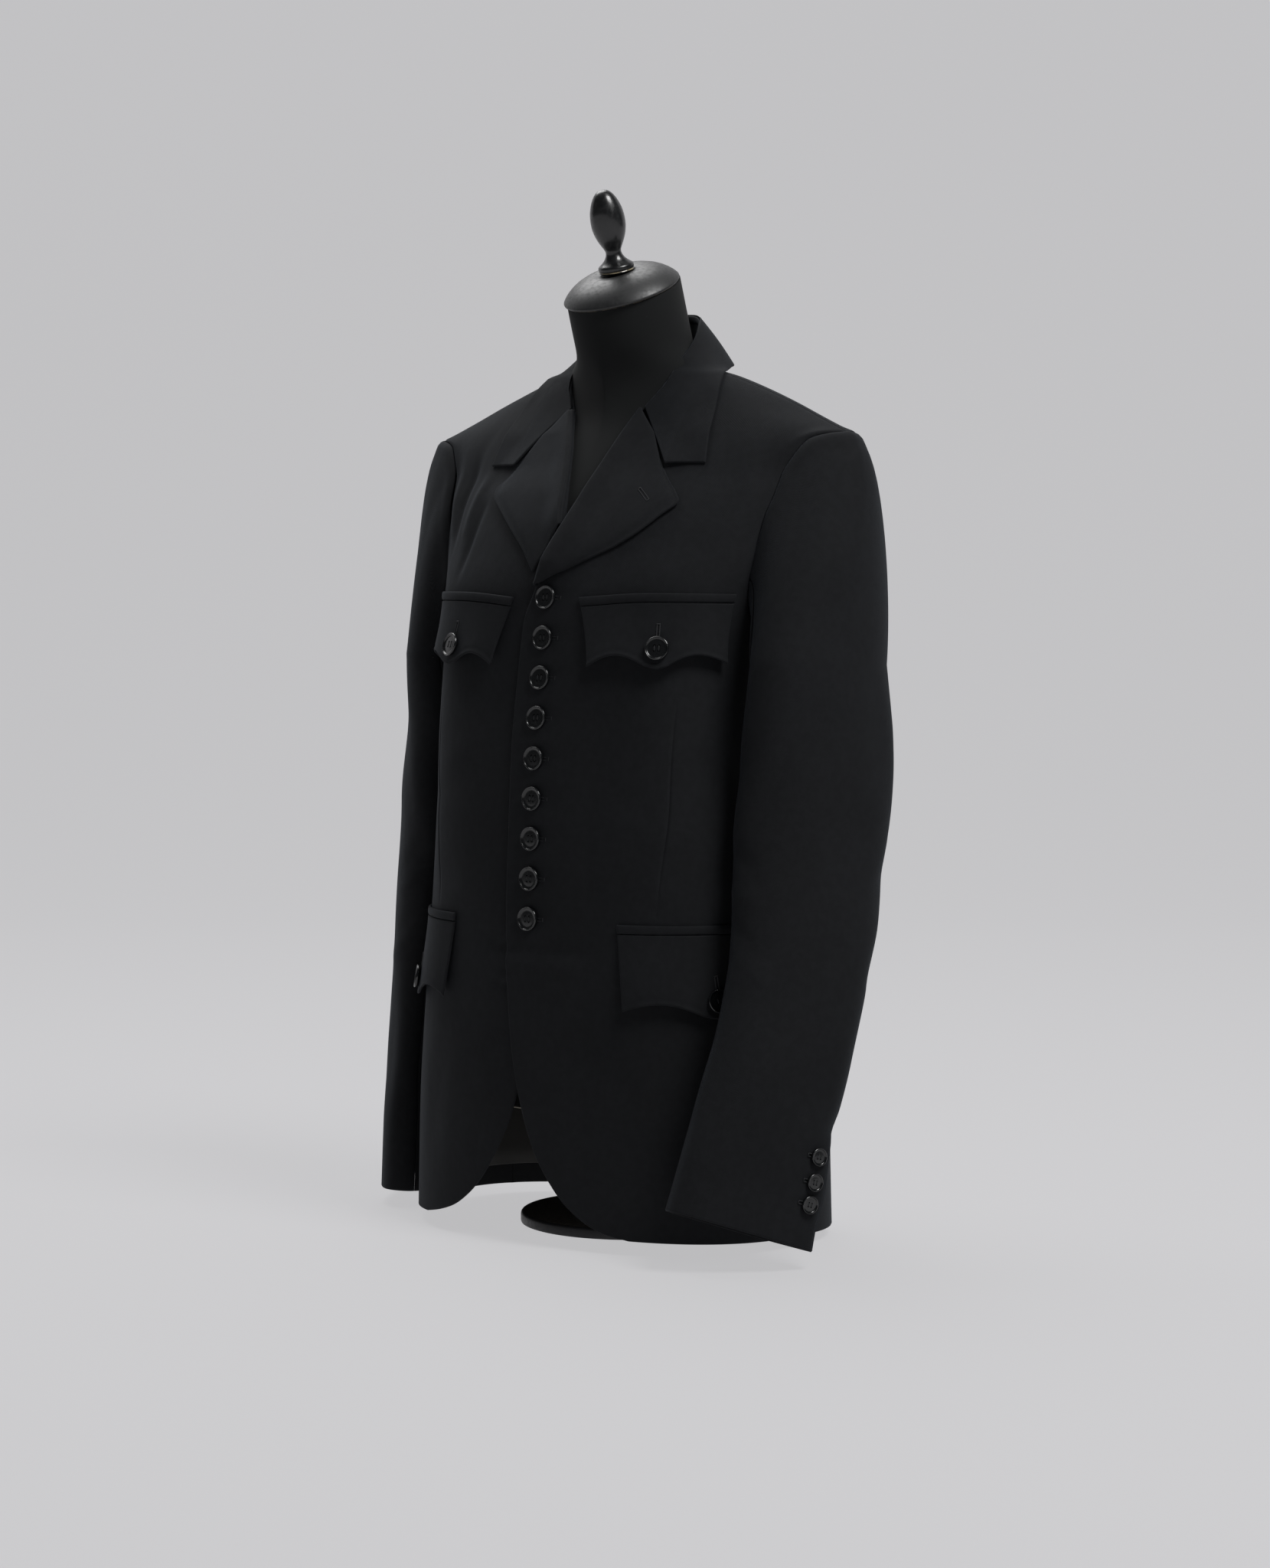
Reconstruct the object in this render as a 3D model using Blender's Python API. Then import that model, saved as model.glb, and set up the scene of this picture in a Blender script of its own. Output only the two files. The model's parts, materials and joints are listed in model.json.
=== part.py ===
"""A single-breasted blazer with nine front buttons, worn by a limbless dress form on a low stand.

Metres, +Z up. The front faces -Y and the wearer's left side is +X. The origin lies on the floor,
at the centre of the stand's base. Lengths in the tables are millimetres and angles are degrees.
Heights in the tables are measured from a line 26 mm below the floor.
"""
import math

import bmesh
import bpy
from mathutils import Matrix, Vector

MM = 0.001
SEAM_GAP = 0.3 * MM
LAY_GAP = 0.35 * MM

# Driving sizes of the garment
BODY_WALL = 2.0 * MM
SLEEVE_WALL = 1.8 * MM
LAPEL_WALL = 2.6 * MM
COLLAR_WALL = 2.4 * MM
FLAP_WALL = 2.2 * MM
LINING_WALL = 1.0 * MM
OVERLAP_LIFT = 3.0 * MM
SHOULDER_TIP = 693.0
NECK_POINT = 749.0
PANEL_COLUMNS = 10

# Driving sizes of the buttons
FRONT_BUTTONS = 9
TOP_BUTTON = 558.0
BUTTON_PITCH = 32.9
BUTTON_RADIUS = 10.0 * MM
CUFF_BUTTON_RADIUS = 7.3 * MM
BUTTON_THICKNESS = 3.6 * MM
CUFF_BUTTONS = 3
CUFF_BUTTON_PITCH = 18.5 * MM
CUFF_BUTTON_RISE = 32.0 * MM

# Driving sizes of the form and its stand
FLOOR_LINE = 26.0
TORSO_BOTTOM = 132.0
BASE_RADIUS = 95.0 * MM
BASE_THICKNESS = 10.0 * MM
POLE_RADIUS = 15.0 * MM
CAP_RADIUS = 50.0 * MM
CAP_CENTRE = (0.0, -14.4, 815.5)
CAP_TILT = 23.5
CAP_HEIGHT = 15.0 * MM
CAP_LIP = 2.0 * MM
FINIAL_LEAN = 16.7
FINIAL_LIFT = 1.2 * MM

# The cloth's rings: half width, centre front, centre back, line of greatest width, roundness
BODY_COLUMNS = ("height", "half_width", "front", "back", "centre", "front_power", "back_power")
BODY_RINGS = (
    (30.0, 185.0, -144.0, 112.0, 0.0, 2.6, 2.3),
    (130.0, 182.0, -143.0, 109.0, 0.0, 2.6, 2.3),
    (230.0, 173.0, -139.0, 97.0, 0.0, 2.7, 2.3),
    (330.0, 163.0, -133.0, 86.0, 0.0, 2.9, 2.4),
    (430.0, 152.0, -127.0, 92.0, 0.0, 3.4, 2.6),
    (500.0, 152.0, -118.0, 103.0, 2.0, 3.5, 2.8),
    (560.0, 162.0, -111.0, 110.0, 4.0, 3.0, 2.8),
    (600.0, 178.0, -99.0, 110.0, 5.0, 2.3, 2.7),
    (640.0, 202.0, -82.0, 104.0, 6.0, 1.75, 2.5),
    (670.0, 212.0, -64.0, 94.0, 6.0, 1.5, 2.3),
    (693.0, 214.0, -49.0, 82.0, 8.0, 1.5, 2.2),
    (715.0, 214.0, -34.0, 72.0, 13.0, 1.5, 2.1),
    (735.0, 214.0, -24.0, 66.0, 15.0, 1.6, 2.0),
    (749.0, 214.0, -17.0, 61.0, 13.0, 1.8, 2.0),
    (760.0, 214.0, -14.0, 59.0, 12.0, 1.9, 2.0),
)

# The shoulder's ridge, from the tip up to the neck
RIDGE_COLUMNS = ("height", "half_width")
RIDGE = ((693.0, 214.0), (705.0, 187.0), (718.5, 157.0), (731.0, 126.0), (741.0, 98.0), (750.0, 68.0), (757.0, 62.0))

# The fronts, row by row: the inner edge's height, its distance from the centre on the left and
# right side, then the angle and height of the side seam and armhole
FRONT_COLUMNS = ("inner_height", "left_inner", "right_inner", "outer_angle", "outer_height")
FRONT_ROWS = (
    (38.0, 100.0, 125.0, 76.0, 35.5),
    (42.0, 80.0, 106.0, 76.0, 48.5),
    (49.0, 62.0, 84.0, 76.0, 63.0),
    (60.5, 46.0, 65.0, 76.0, 80.0),
    (76.5, 31.0, 48.0, 76.3, 98.5),
    (104.0, 12.0, 29.0, 76.6, 124.0),
    (134.0, 0.0, 14.0, 77.0, 154.5),
    (165.0, -9.0, 5.0, 77.4, 185.0),
    (200.0, -15.5, -4.0, 77.8, 215.0),
    (272.0, -23.0, -22.0, 78.5, 272.0),
    (330.0, -25.0, -25.0, 79.0, 330.0),
    (400.0, -25.0, -25.0, 80.0, 400.0),
    (465.0, -25.0, -25.0, 81.0, 465.0),
    (530.0, -23.0, -25.0, 82.0, 527.0),
    (565.0, -13.5, -22.0, 75.0, 548.0),
    (590.0, -4.0, -12.0, 69.0, 574.0),
    (614.0, 5.0, 1.0, 64.0, 602.0),
    (653.0, 17.5, 8.5, 60.0, 632.0),
    (689.0, 29.0, 25.0, 60.0, 656.0),
    (714.0, 37.0, 37.0, 62.5, 675.0),
    (735.0, 52.0, 52.0, 67.0, 688.0),
    (745.0, 60.0, 60.0, 77.0, 692.0),
    (749.0, 68.0, 68.0, 90.0, 693.0),
)
SIDE_ROWS = 14

# The backs, row by row: the angle and height of the centre seam and neckline, then of the side
# seam and armhole
BACK_COLUMNS = ("inner_angle", "inner_height", "outer_angle", "outer_height")
BACK_ROWS = (
    (180.0, 33.5, 112.0, 34.5),
    (180.0, 48.0, 112.0, 48.0),
    (180.0, 63.0, 112.0, 63.0),
    (180.0, 80.0, 112.0, 80.0),
    (180.0, 98.5, 111.8, 98.5),
    (180.0, 124.0, 111.5, 124.0),
    (180.0, 154.5, 111.2, 154.5),
    (180.0, 185.0, 111.0, 185.0),
    (180.0, 215.0, 110.6, 215.0),
    (180.0, 272.0, 110.0, 272.0),
    (180.0, 330.0, 109.4, 330.0),
    (180.0, 400.0, 108.6, 400.0),
    (180.0, 465.0, 107.6, 465.0),
    (180.0, 530.0, 106.0, 532.0),
    (180.0, 570.0, 111.0, 556.0),
    (180.0, 610.0, 115.0, 583.0),
    (180.0, 650.0, 117.5, 612.0),
    (180.0, 690.0, 118.5, 640.0),
    (180.0, 725.0, 117.0, 663.0),
    (180.0, 757.0, 112.5, 679.0),
    (150.0, 756.0, 106.0, 688.0),
    (120.0, 752.5, 98.0, 692.0),
    (90.0, 749.0, 90.0, 693.0),
)
UNDERARM = ((82.0, 527.0), (88.0, 517.5), (94.5, 513.5), (100.5, 518.5), (106.0, 532.0))

# The sleeves below the armhole: centre, half widths along and across, and the turn of the long way
SLEEVE_COLUMNS = ("height", "out", "forth", "half_long", "half_short", "turn")
LEFT_SLEEVE = (
    (505.0, 202.0, -12.5, 66.0, 36.0, 13.0),
    (455.0, 204.0, -16.0, 66.0, 34.0, 24.0),
    (379.0, 206.0, -27.0, 64.0, 32.0, 35.0),
    (304.0, 210.0, -43.0, 60.0, 29.0, 36.0),
    (250.0, 214.0, -59.0, 57.0, 27.0, 37.0),
    (199.0, 214.0, -77.0, 56.0, 26.0, 38.0),
    (143.0, 211.0, -99.0, 56.0, 25.0, 40.0),
    (58.0, 203.0, -128.0, 57.0, 22.5, 41.0),
)
RIGHT_SLEEVE = (
    (505.0, 200.0, 5.0, 65.0, 34.0, 13.0),
    (455.0, 202.0, 0.0, 65.0, 33.0, 24.0),
    (379.0, 204.0, -15.0, 64.0, 31.0, 35.0),
    (304.0, 214.0, -13.0, 61.0, 28.0, 31.0),
    (250.0, 221.0, -9.0, 59.0, 27.0, 28.0),
    (199.0, 224.0, -11.0, 58.0, 26.0, 28.0),
    (143.0, 226.0, -16.0, 57.0, 25.0, 28.0),
    (38.0, 228.0, -22.0, 58.0, 24.0, 29.0),
)
CAP_SLEEVE_ROWS = 7
FRONT_SLEEVE_SEAM = 7
BACK_SLEEVE_SEAM = 16

# The lapels, from the lowest row up to the gorge: the fold and the outer edge
LAPEL_COLUMNS = ("fold_out", "fold_height", "edge_out", "edge_height")
LEFT_LAPEL = (
    (-12.5, 567.0, -8.0, 569.0),
    (-4.0, 588.0, 19.0, 581.0),
    (3.0, 607.0, 47.0, 594.0),
    (11.0, 632.0, 74.0, 611.0),
    (20.0, 661.0, 99.0, 640.0),
    (29.0, 689.0, 89.0, 651.0),
    (37.0, 713.0, 78.0, 663.0),
)
RIGHT_LAPEL = (
    (-1.5, 616.0, 19.0, 574.0),
    (1.5, 626.0, 37.0, 593.0),
    (5.0, 641.0, 60.0, 607.0),
    (11.0, 658.0, 84.0, 624.0),
    (18.0, 676.0, 99.0, 640.0),
    (28.0, 696.0, 89.0, 651.0),
    (37.0, 713.0, 78.0, 663.0),
)
LAPEL_ROWS = 13
LAPEL_SPANS = 5
LAPEL_ROLL = 3.0 * MM

# The collar's left half, from the centre back to the gorge: fold, outer edge and neck seam
COLLAR_COLUMNS = ("fold_x", "fold_y", "fold_z", "edge_x", "edge_y", "edge_z", "seam_x", "seam_y", "seam_z")
COLLAR_ROWS = (
    (0.0, 57.0, 797.0, 0.0, 80.0, 752.0, 0.0, 60.5, 760.0),
    (26.0, 51.0, 796.0, 42.0, 72.0, 752.0, 31.0, 54.0, 760.0),
    (45.0, 35.0, 790.0, 71.0, 48.0, 752.0, 54.0, 36.0, 759.0),
    (54.5, 11.0, 769.0, 86.0, 18.0, 745.0, 61.0, 12.0, 755.5),
    (52.5, -14.0, 742.0, 101.0, -14.0, 718.0, 55.5, -12.5, 738.0),
    (38.8, -33.0, 716.0, 113.0, -46.0, 667.5, 39.3, -32.0, 714.0),
)
COLLAR_NOTCH = (78.3, -58.0, 664.5)
NOTCH_SHARE = 0.54
COLLAR_SPANS = 6
COLLAR_HALF_ROWS = 12
COLLAR_LIFT = 3.7 * MM
COLLAR_SWELL = 1.5 * MM
COLLAR_END_SWELL = 4.8 * MM
NECK_TOP = 757.0
STAND_SHARE = 0.74
STAND_TRIM = 5.5 * MM

# Flaps: inner top corner, width, heights, and how far the lower edge stands off
FLAPS = {
    "chest": {"inner": 35.5, "top": 558.0, "rise": 4.0, "width": 133.0, "corner": 56.5, "arch": 49.5,
              "point": 61.5, "inner_slant": 6.0, "outer_slant": 5.0, "stand_off": 7.0, "button_rise": 16.5,
              "left_peak": 0.545, "right_peak": 0.45},
    "hip": {"inner": 85.0, "top": 297.0, "rise": 0.0, "width": 150.0, "corner": 66.0, "arch": 61.0,
            "point": 76.0, "inner_slant": 8.0, "outer_slant": 4.0, "stand_off": 5.0, "button_rise": 15.0,
            "left_peak": 0.5, "right_peak": 0.45},
}
WELT_DEPTH = 7.0
FLAP_COLUMNS = 14
FLAP_SPANS = 4

# The dress form's rings, above the floor
FORM_COLUMNS = ("height", "half_width", "front", "back", "centre", "front_power", "back_power")
FORM_RINGS = (
    (132.0, 162.0, -112.0, 88.0, -4.0, 2.4, 2.3),
    (230.0, 152.0, -110.0, 78.0, -4.0, 2.5, 2.3),
    (330.0, 140.0, -110.0, 70.0, -3.0, 2.7, 2.4),
    (430.0, 142.0, -112.0, 80.0, -2.0, 3.0, 2.5),
    (500.0, 145.0, -112.0, 94.0, 1.0, 3.1, 2.7),
    (560.0, 154.0, -106.0, 103.0, 3.0, 2.8, 2.7),
    (600.0, 168.0, -94.0, 104.0, 5.0, 2.2, 2.6),
    (640.0, 184.0, -77.0, 99.0, 6.0, 1.7, 2.4),
    (670.0, 194.0, -60.0, 89.0, 6.0, 1.45, 2.2),
    (693.0, 189.0, -46.0, 77.0, 7.0, 1.35, 2.1),
    (715.0, 152.0, -36.0, 66.0, 11.0, 1.02, 1.9),
    (731.0, 110.0, -37.0, 59.0, 11.0, 0.96, 1.75),
    (742.0, 70.0, -37.0, 56.0, 9.0, 1.02, 1.75),
    (754.0, 50.5, -42.0, 53.5, 6.0, 1.8, 1.95),
    (770.0, 49.5, -46.5, 52.5, 3.0, 2.0, 2.0),
    (790.0, 49.0, -53.0, 45.5, -3.5, 2.0, 2.0),
    (814.2, 49.0, -60.5, 37.5, -11.5, 2.0, 2.0),
)
FORM_HEIGHTS = (132.0, 180.0, 230.0, 280.0, 330.0, 380.0, 430.0, 480.0, 520.0, 560.0, 600.0, 625.0, 650.0,
                672.0, 690.0, 703.0, 717.0, 730.0, 742.0, 754.0, 770.0, 790.0, 814.2)
NECK_LINE = 748.0
FORM_SIDES = 32

CLOTH_BLACK = (0.012, 0.0125, 0.014, 1.0)
LINING_BROWN = (0.03, 0.026, 0.02, 1.0)
HORN_BLACK = (0.01, 0.011, 0.012, 1.0)
FORM_BLACK = (0.010, 0.0105, 0.011, 1.0)
WOOD_BLACK = (0.014, 0.014, 0.015, 1.0)
STEEL_BLACK = (0.02, 0.02, 0.021, 1.0)


def clear_scene():
    """Removes every object, so that the part stands alone."""
    for thing in list(bpy.data.objects):
        bpy.data.objects.remove(thing, do_unlink=True)


def material(name, colour, roughness, metallic=0.0):
    """Returns the Principled material of this name."""
    made = bpy.data.materials.get(name)
    if made is None:
        made = bpy.data.materials.new(name)
        made.use_nodes = True
        shader = made.node_tree.nodes["Principled BSDF"]
        shader.inputs["Base Color"].default_value = colour
        shader.inputs["Roughness"].default_value = roughness
        shader.inputs["Metallic"].default_value = metallic
    return made


def wool():
    return material("wool_twill", CLOTH_BLACK, 0.85)


def horn():
    return material("button_black", HORN_BLACK, 0.25)


def slopes(xs, ys):
    """Slopes of a smooth curve through the points that never swings past them."""
    steps = [(ys[i + 1] - ys[i]) / (xs[i + 1] - xs[i]) for i in range(len(xs) - 1)]
    inner = [0.0 if a * b <= 0 else 2 * a * b / (a + b) for a, b in zip(steps, steps[1:])]
    return [steps[0]] + inner + [steps[-1]]


def curve_value(xs, ys, x):
    """The height of the smooth curve through the points, at x."""
    x = min(max(x, xs[0]), xs[-1])
    i = max(0, min(len(xs) - 2, sum(1 for value in xs[1:-1] if value <= x)))
    width = xs[i + 1] - xs[i]
    t = (x - xs[i]) / width
    tilt = slopes(xs, ys)
    return ((1 + 2 * t) * (1 - t) ** 2 * ys[i] + t * (1 - t) ** 2 * width * tilt[i]
            + t * t * (3 - 2 * t) * ys[i + 1] + t * t * (t - 1) * width * tilt[i + 1])


def columns_of(table, names):
    """The table's columns by name."""
    return {name: [row[i] for row in table] for i, name in enumerate(names)}


def read_row(columns, key, at):
    """Every column's smooth value where the key column equals at."""
    return {name: curve_value(columns[key], values, at) for name, values in columns.items() if name != key}


BODY = columns_of(BODY_RINGS, BODY_COLUMNS)
RIDGES = columns_of(RIDGE, RIDGE_COLUMNS)
FORM = columns_of(FORM_RINGS, FORM_COLUMNS)
RING_CACHE = {}


def body_ring(height):
    """The cloth's ring at this height. Above the tip its width follows the shoulder's ridge."""
    key = round(height, 4)
    if key not in RING_CACHE:
        ring = read_row(BODY, "height", height)
        if height > SHOULDER_TIP:
            ring["half_width"] = curve_value(RIDGES["height"], RIDGES["half_width"], height)
        RING_CACHE[key] = ring
    return RING_CACHE[key]


def ring_point(ring, angle, height):
    """A point of a ring, in metres. Angle 0 is the centre front and 180 the centre back."""
    turn = math.radians(angle)
    front = math.cos(turn) >= 0
    power = ring["front_power"] if front else ring["back_power"]
    depth = ring["centre"] - ring["front"] if front else ring["back"] - ring["centre"]
    side = math.copysign(abs(math.sin(turn)) ** (2 / power), math.sin(turn))
    along = abs(math.cos(turn)) ** (2 / power)
    y = ring["centre"] + (-depth * along if front else depth * along)
    return Vector((ring["half_width"] * side, y, height)) * MM


def body_point(angle, height, lift=0.0):
    """A point of the body's cloth, moved out by lift, and the outward direction there."""
    here = ring_point(body_ring(height), angle, height)
    step = 0.4
    around = ring_point(body_ring(height), angle + step, height) - ring_point(body_ring(height), angle - step, height)
    up = (ring_point(body_ring(height + step), angle, height + step)
          - ring_point(body_ring(height - step), angle, height - step))
    out = around.cross(up).normalized()
    return here + out * lift, out


def angle_at(out, height):
    """The angle at which the front of the ring lies this far from the centre line."""
    ring = body_ring(height)
    share = min(abs(out) / ring["half_width"], 1.0)
    return math.copysign(math.degrees(math.asin(share ** (ring["front_power"] / 2))), out)


def mix(a, b, t):
    return a + (b - a) * t


def ease(t):
    """A soft step from 0 to 1."""
    t = min(max(t, 0.0), 1.0)
    return t * t * (3 - 2 * t)


def mirrored(vector, side):
    return Vector((vector.x * side, vector.y, vector.z))


def link(name, mesh, finish):
    """Puts the mesh in the scene as a smooth-shaded object with sharp edges kept."""
    mesh.transform(Matrix.Translation((0, 0, -FLOOR_LINE * MM)))
    mesh.materials.append(finish)
    mesh.shade_smooth()
    mesh.set_sharp_from_angle(angle=math.radians(40))
    thing = bpy.data.objects.new(name, mesh)
    bpy.context.collection.objects.link(thing)
    return thing


def closed_mesh(name, points, faces):
    """A mesh whose faces all point out."""
    mesh = bpy.data.meshes.new(name)
    mesh.from_pydata([tuple(p) for p in points], [], faces)
    work = bmesh.new()
    work.from_mesh(mesh)
    bmesh.ops.recalc_face_normals(work, faces=work.faces)
    work.to_mesh(mesh)
    work.free()
    return mesh


def wall(name, grid, thickness, finish):
    """A wall of cloth: grid holds rows of (point, outward direction) on its middle."""
    rows = len(grid)
    columns = len(grid[0])
    half = thickness / 2
    outer = [point + out * half for row in grid for point, out in row]
    inner = [point - out * half for row in grid for point, out in row]
    count = rows * columns
    faces = []
    for r in range(rows - 1):
        for c in range(columns - 1):
            a = r * columns + c
            quad = (a, a + 1, a + columns + 1, a + columns)
            faces.append(quad)
            faces.append(tuple(count + i for i in reversed(quad)))
    rim = [c for c in range(columns)]
    rim += [r * columns + columns - 1 for r in range(1, rows)]
    rim += [(rows - 1) * columns + c for c in range(columns - 2, -1, -1)]
    rim += [r * columns for r in range(rows - 2, 0, -1)]
    for a, b in zip(rim, rim[1:] + rim[:1]):
        faces.append((b, a, count + a, count + b))
    return link(name, closed_mesh(name, outer + inner, faces), finish)


def draw_in(grid, edges, distance=SEAM_GAP / 2):
    """Moves the named edges of a grid inwards, which leaves the seam's gap."""
    rows = [list(row) for row in grid]

    def moved(cell, towards):
        step = (towards[0] - cell[0]).normalized() * distance
        return (cell[0] + step, cell[1])

    for row in rows:
        if "first" in edges:
            row[0] = moved(row[0], row[1])
        if "last" in edges:
            row[-1] = moved(row[-1], row[-2])
    if "top" in edges:
        rows[-1] = [moved(cell, below) for cell, below in zip(rows[-1], rows[-2])]
    return rows


def overlap_lift(out, height):
    """How far the left front stands off to lie over the right one."""
    return OVERLAP_LIFT * ease((62.0 - out) / 30.0) * ease((640.0 - height) / 45.0)


def front_grid(side):
    """The front panel from its edge and roll line to its side seam and armhole."""
    rows = columns_of(FRONT_ROWS, FRONT_COLUMNS)
    edge = rows["left_inner"] if side > 0 else rows["right_inner"]
    grid = []
    for out, low, angle, high in zip(edge, rows["inner_height"], rows["outer_angle"], rows["outer_height"]):
        start = 90.0 if low >= NECK_POINT else angle_at(out, low)
        line = []
        for c in range(PANEL_COLUMNS + 1):
            t = c / PANEL_COLUMNS
            here = mix(start, angle, t)
            height = mix(low, high, t)
            point, outward = body_point(here, height)
            if side > 0:
                point += outward * overlap_lift(point.x / MM, height)
            line.append((mirrored(point, side), mirrored(outward, side)))
        grid.append(line)
    return grid


def side_grid(side):
    """The narrow panel under the arm, between the front's seam and the back's."""
    front = columns_of(FRONT_ROWS, FRONT_COLUMNS)
    back = columns_of(BACK_ROWS, BACK_COLUMNS)
    spans = len(UNDERARM) - 1
    grid = []
    for r in range(SIDE_ROWS - 1):
        line = []
        for c in range(spans + 1):
            t = c / spans
            angle = mix(front["outer_angle"][r], back["outer_angle"][r], t)
            height = mix(front["outer_height"][r], back["outer_height"][r], t)
            point, outward = body_point(angle, height)
            line.append((mirrored(point, side), mirrored(outward, side)))
        grid.append(line)
    top = [body_point(angle, height) for angle, height in UNDERARM]
    grid.append([(mirrored(point, side), mirrored(outward, side)) for point, outward in top])
    return grid


def back_grid(side):
    """The back panel from the centre seam and neckline to its side seam and armhole."""
    rows = columns_of(BACK_ROWS, BACK_COLUMNS)
    grid = []
    for a, low, b, high in zip(*(rows[name] for name in BACK_COLUMNS)):
        line = []
        for c in range(PANEL_COLUMNS + 1):
            t = c / PANEL_COLUMNS
            point, outward = body_point(mix(a, b, t), mix(low, high, t))
            line.append((mirrored(point, side), mirrored(outward, side)))
        grid.append(line)
    return grid


def body_panels(side, label):
    """Front, side and back panel of one side."""
    wall("front_" + label, draw_in(front_grid(side), ("top",)), BODY_WALL, wool())
    wall("side_" + label, draw_in(side_grid(side), ("first", "last"), SEAM_GAP), BODY_WALL, wool())
    wall("back_" + label, draw_in(back_grid(side), ("first", "top")), BODY_WALL, wool())


def armhole_loop():
    """The armhole's points, from the shoulder tip down the front, under the arm and up the back."""
    front = columns_of(FRONT_ROWS, FRONT_COLUMNS)
    back = columns_of(BACK_ROWS, BACK_COLUMNS)
    places = list(zip(front["outer_angle"], front["outer_height"]))[SIDE_ROWS - 1:][::-1]
    places += list(UNDERARM)[1:-1]
    places += list(zip(back["outer_angle"], back["outer_height"]))[SIDE_ROWS - 1:-1]
    return [body_point(angle, height) for angle, height in places]


def sleeve_stations(table):
    """The centre line, its direction and the half widths at each row of the table."""
    rows = columns_of(table, SLEEVE_COLUMNS)
    centres = [Vector((x, y, z)) * MM for z, x, y in zip(rows["height"], rows["out"], rows["forth"])]
    stations = []
    for i, centre in enumerate(centres):
        before = centres[max(i - 1, 0)]
        after = centres[min(i + 1, len(centres) - 1)]
        down = (after - before).normalized()
        if i == 0:
            down = (down + Vector((0, 0, -1))).normalized()
        stations.append((centre, down, rows["half_long"][i] * MM, rows["half_short"][i] * MM, rows["turn"][i]))
    return stations


def sleeve_ring(station, count):
    """One flattened ring of the sleeve. It starts on the outer side and runs to the front first."""
    centre, down, half_long, half_short, turn = station
    tau = math.radians(turn)
    forth = Vector((-math.sin(tau), -math.cos(tau), 0))
    forth = (forth - down * forth.dot(down)).normalized()
    out = down.cross(forth).normalized()
    if out.x < 0:
        out = -out
    ring = []
    for j in range(count):
        psi = 2 * math.pi * j / count
        ring.append(centre + out * (half_short * math.cos(psi)) + forth * (half_long * math.sin(psi)))
    return ring


def sleeve_rings(table):
    """Rings of points from the armhole to the cuff."""
    loop = armhole_loop()
    count = len(loop)
    stations = sleeve_stations(table)
    rings = []
    seam = []
    middle = sum((point for point, outward in loop), Vector()) / count
    for j, (point, outward) in enumerate(loop):
        tangent = (loop[(j + 1) % count][0] - loop[j - 1][0]).normalized()
        across = outward.cross(tangent).normalized()
        if across.dot(middle - point) < 0:
            across = -across
        seam.append((point, across, outward))
    first = []
    for j, (point, across, outward) in enumerate(seam):
        below = 0.5 - 0.5 * math.cos(2 * math.pi * j / count)
        first.append(point + across * SEAM_GAP * (1 + 1.5 * below))
    below = sleeve_ring(stations[0], count)
    down = stations[0][1]
    rings.append(first)
    for r in range(1, CAP_SLEEVE_ROWS):
        t = r / CAP_SLEEVE_ROWS
        ring = []
        for j in range(count):
            a = first[j]
            b = below[j]
            reach = (b - a).length
            psi = 2 * math.pi * j / count
            fall = 0.22 + 0.28 * math.cos(psi)
            leave = Vector((1.0, -0.25 * math.sin(psi), -fall)).normalized() * reach * (0.52 + 0.06 * math.cos(psi))
            arrive = down * reach * 0.9
            ring.append(a * ((1 + 2 * t) * (1 - t) ** 2) + leave * (t * (1 - t) ** 2)
                        + b * (t * t * (3 - 2 * t)) + arrive * (t * t * (t - 1)))
        rings.append(ring)
    rings += [sleeve_ring(station, count) for station in stations]
    return rings, [outward for point, across, outward in seam]


def sleeve_grid(table):
    """The whole sleeve as rows of (point, outward direction)."""
    rings, seam_out = sleeve_rings(table)
    count = len(rings[0])
    grid = []
    for r, ring in enumerate(rings):
        line = []
        for j, point in enumerate(ring):
            around = ring[(j + 1) % count] - ring[j - 1]
            along = rings[min(r + 1, len(rings) - 1)][j] - rings[max(r - 1, 0)][j]
            outward = around.cross(along).normalized()
            centre = sum(ring, Vector()) / count
            if outward.dot(point - centre) < 0:
                outward = -outward
            line.append((point, seam_out[j] if r == 0 else outward))
        grid.append(line)
    return grid


def sleeves(side, label, table):
    """Top sleeve and under sleeve of one arm."""
    grid = [[(mirrored(p, side), mirrored(n, side)) for p, n in row] for row in sleeve_grid(table)]
    top = [row[BACK_SLEEVE_SEAM:] + row[:FRONT_SLEEVE_SEAM + 1] for row in grid]
    under = [row[FRONT_SLEEVE_SEAM:BACK_SLEEVE_SEAM + 1] for row in grid]
    wall("sleeve_top_" + label, draw_in(top, ("first", "last"), 0.4 * MM), SLEEVE_WALL, wool())
    wall("sleeve_under_" + label, draw_in(under, ("first", "last"), 0.4 * MM), SLEEVE_WALL, wool())
    cuff_buttons(grid, label)


def button_profile(radius, thickness):
    """Half profile of a dished button with a raised rim, from the back's centre to the dish."""
    return ((0.0, 0.0), (radius * 0.72, 0.0), (radius, thickness * 0.45), (radius * 0.93, thickness),
            (radius * 0.74, thickness * 0.94), (radius * 0.58, thickness * 0.62), (0.0, thickness * 0.58))


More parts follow.
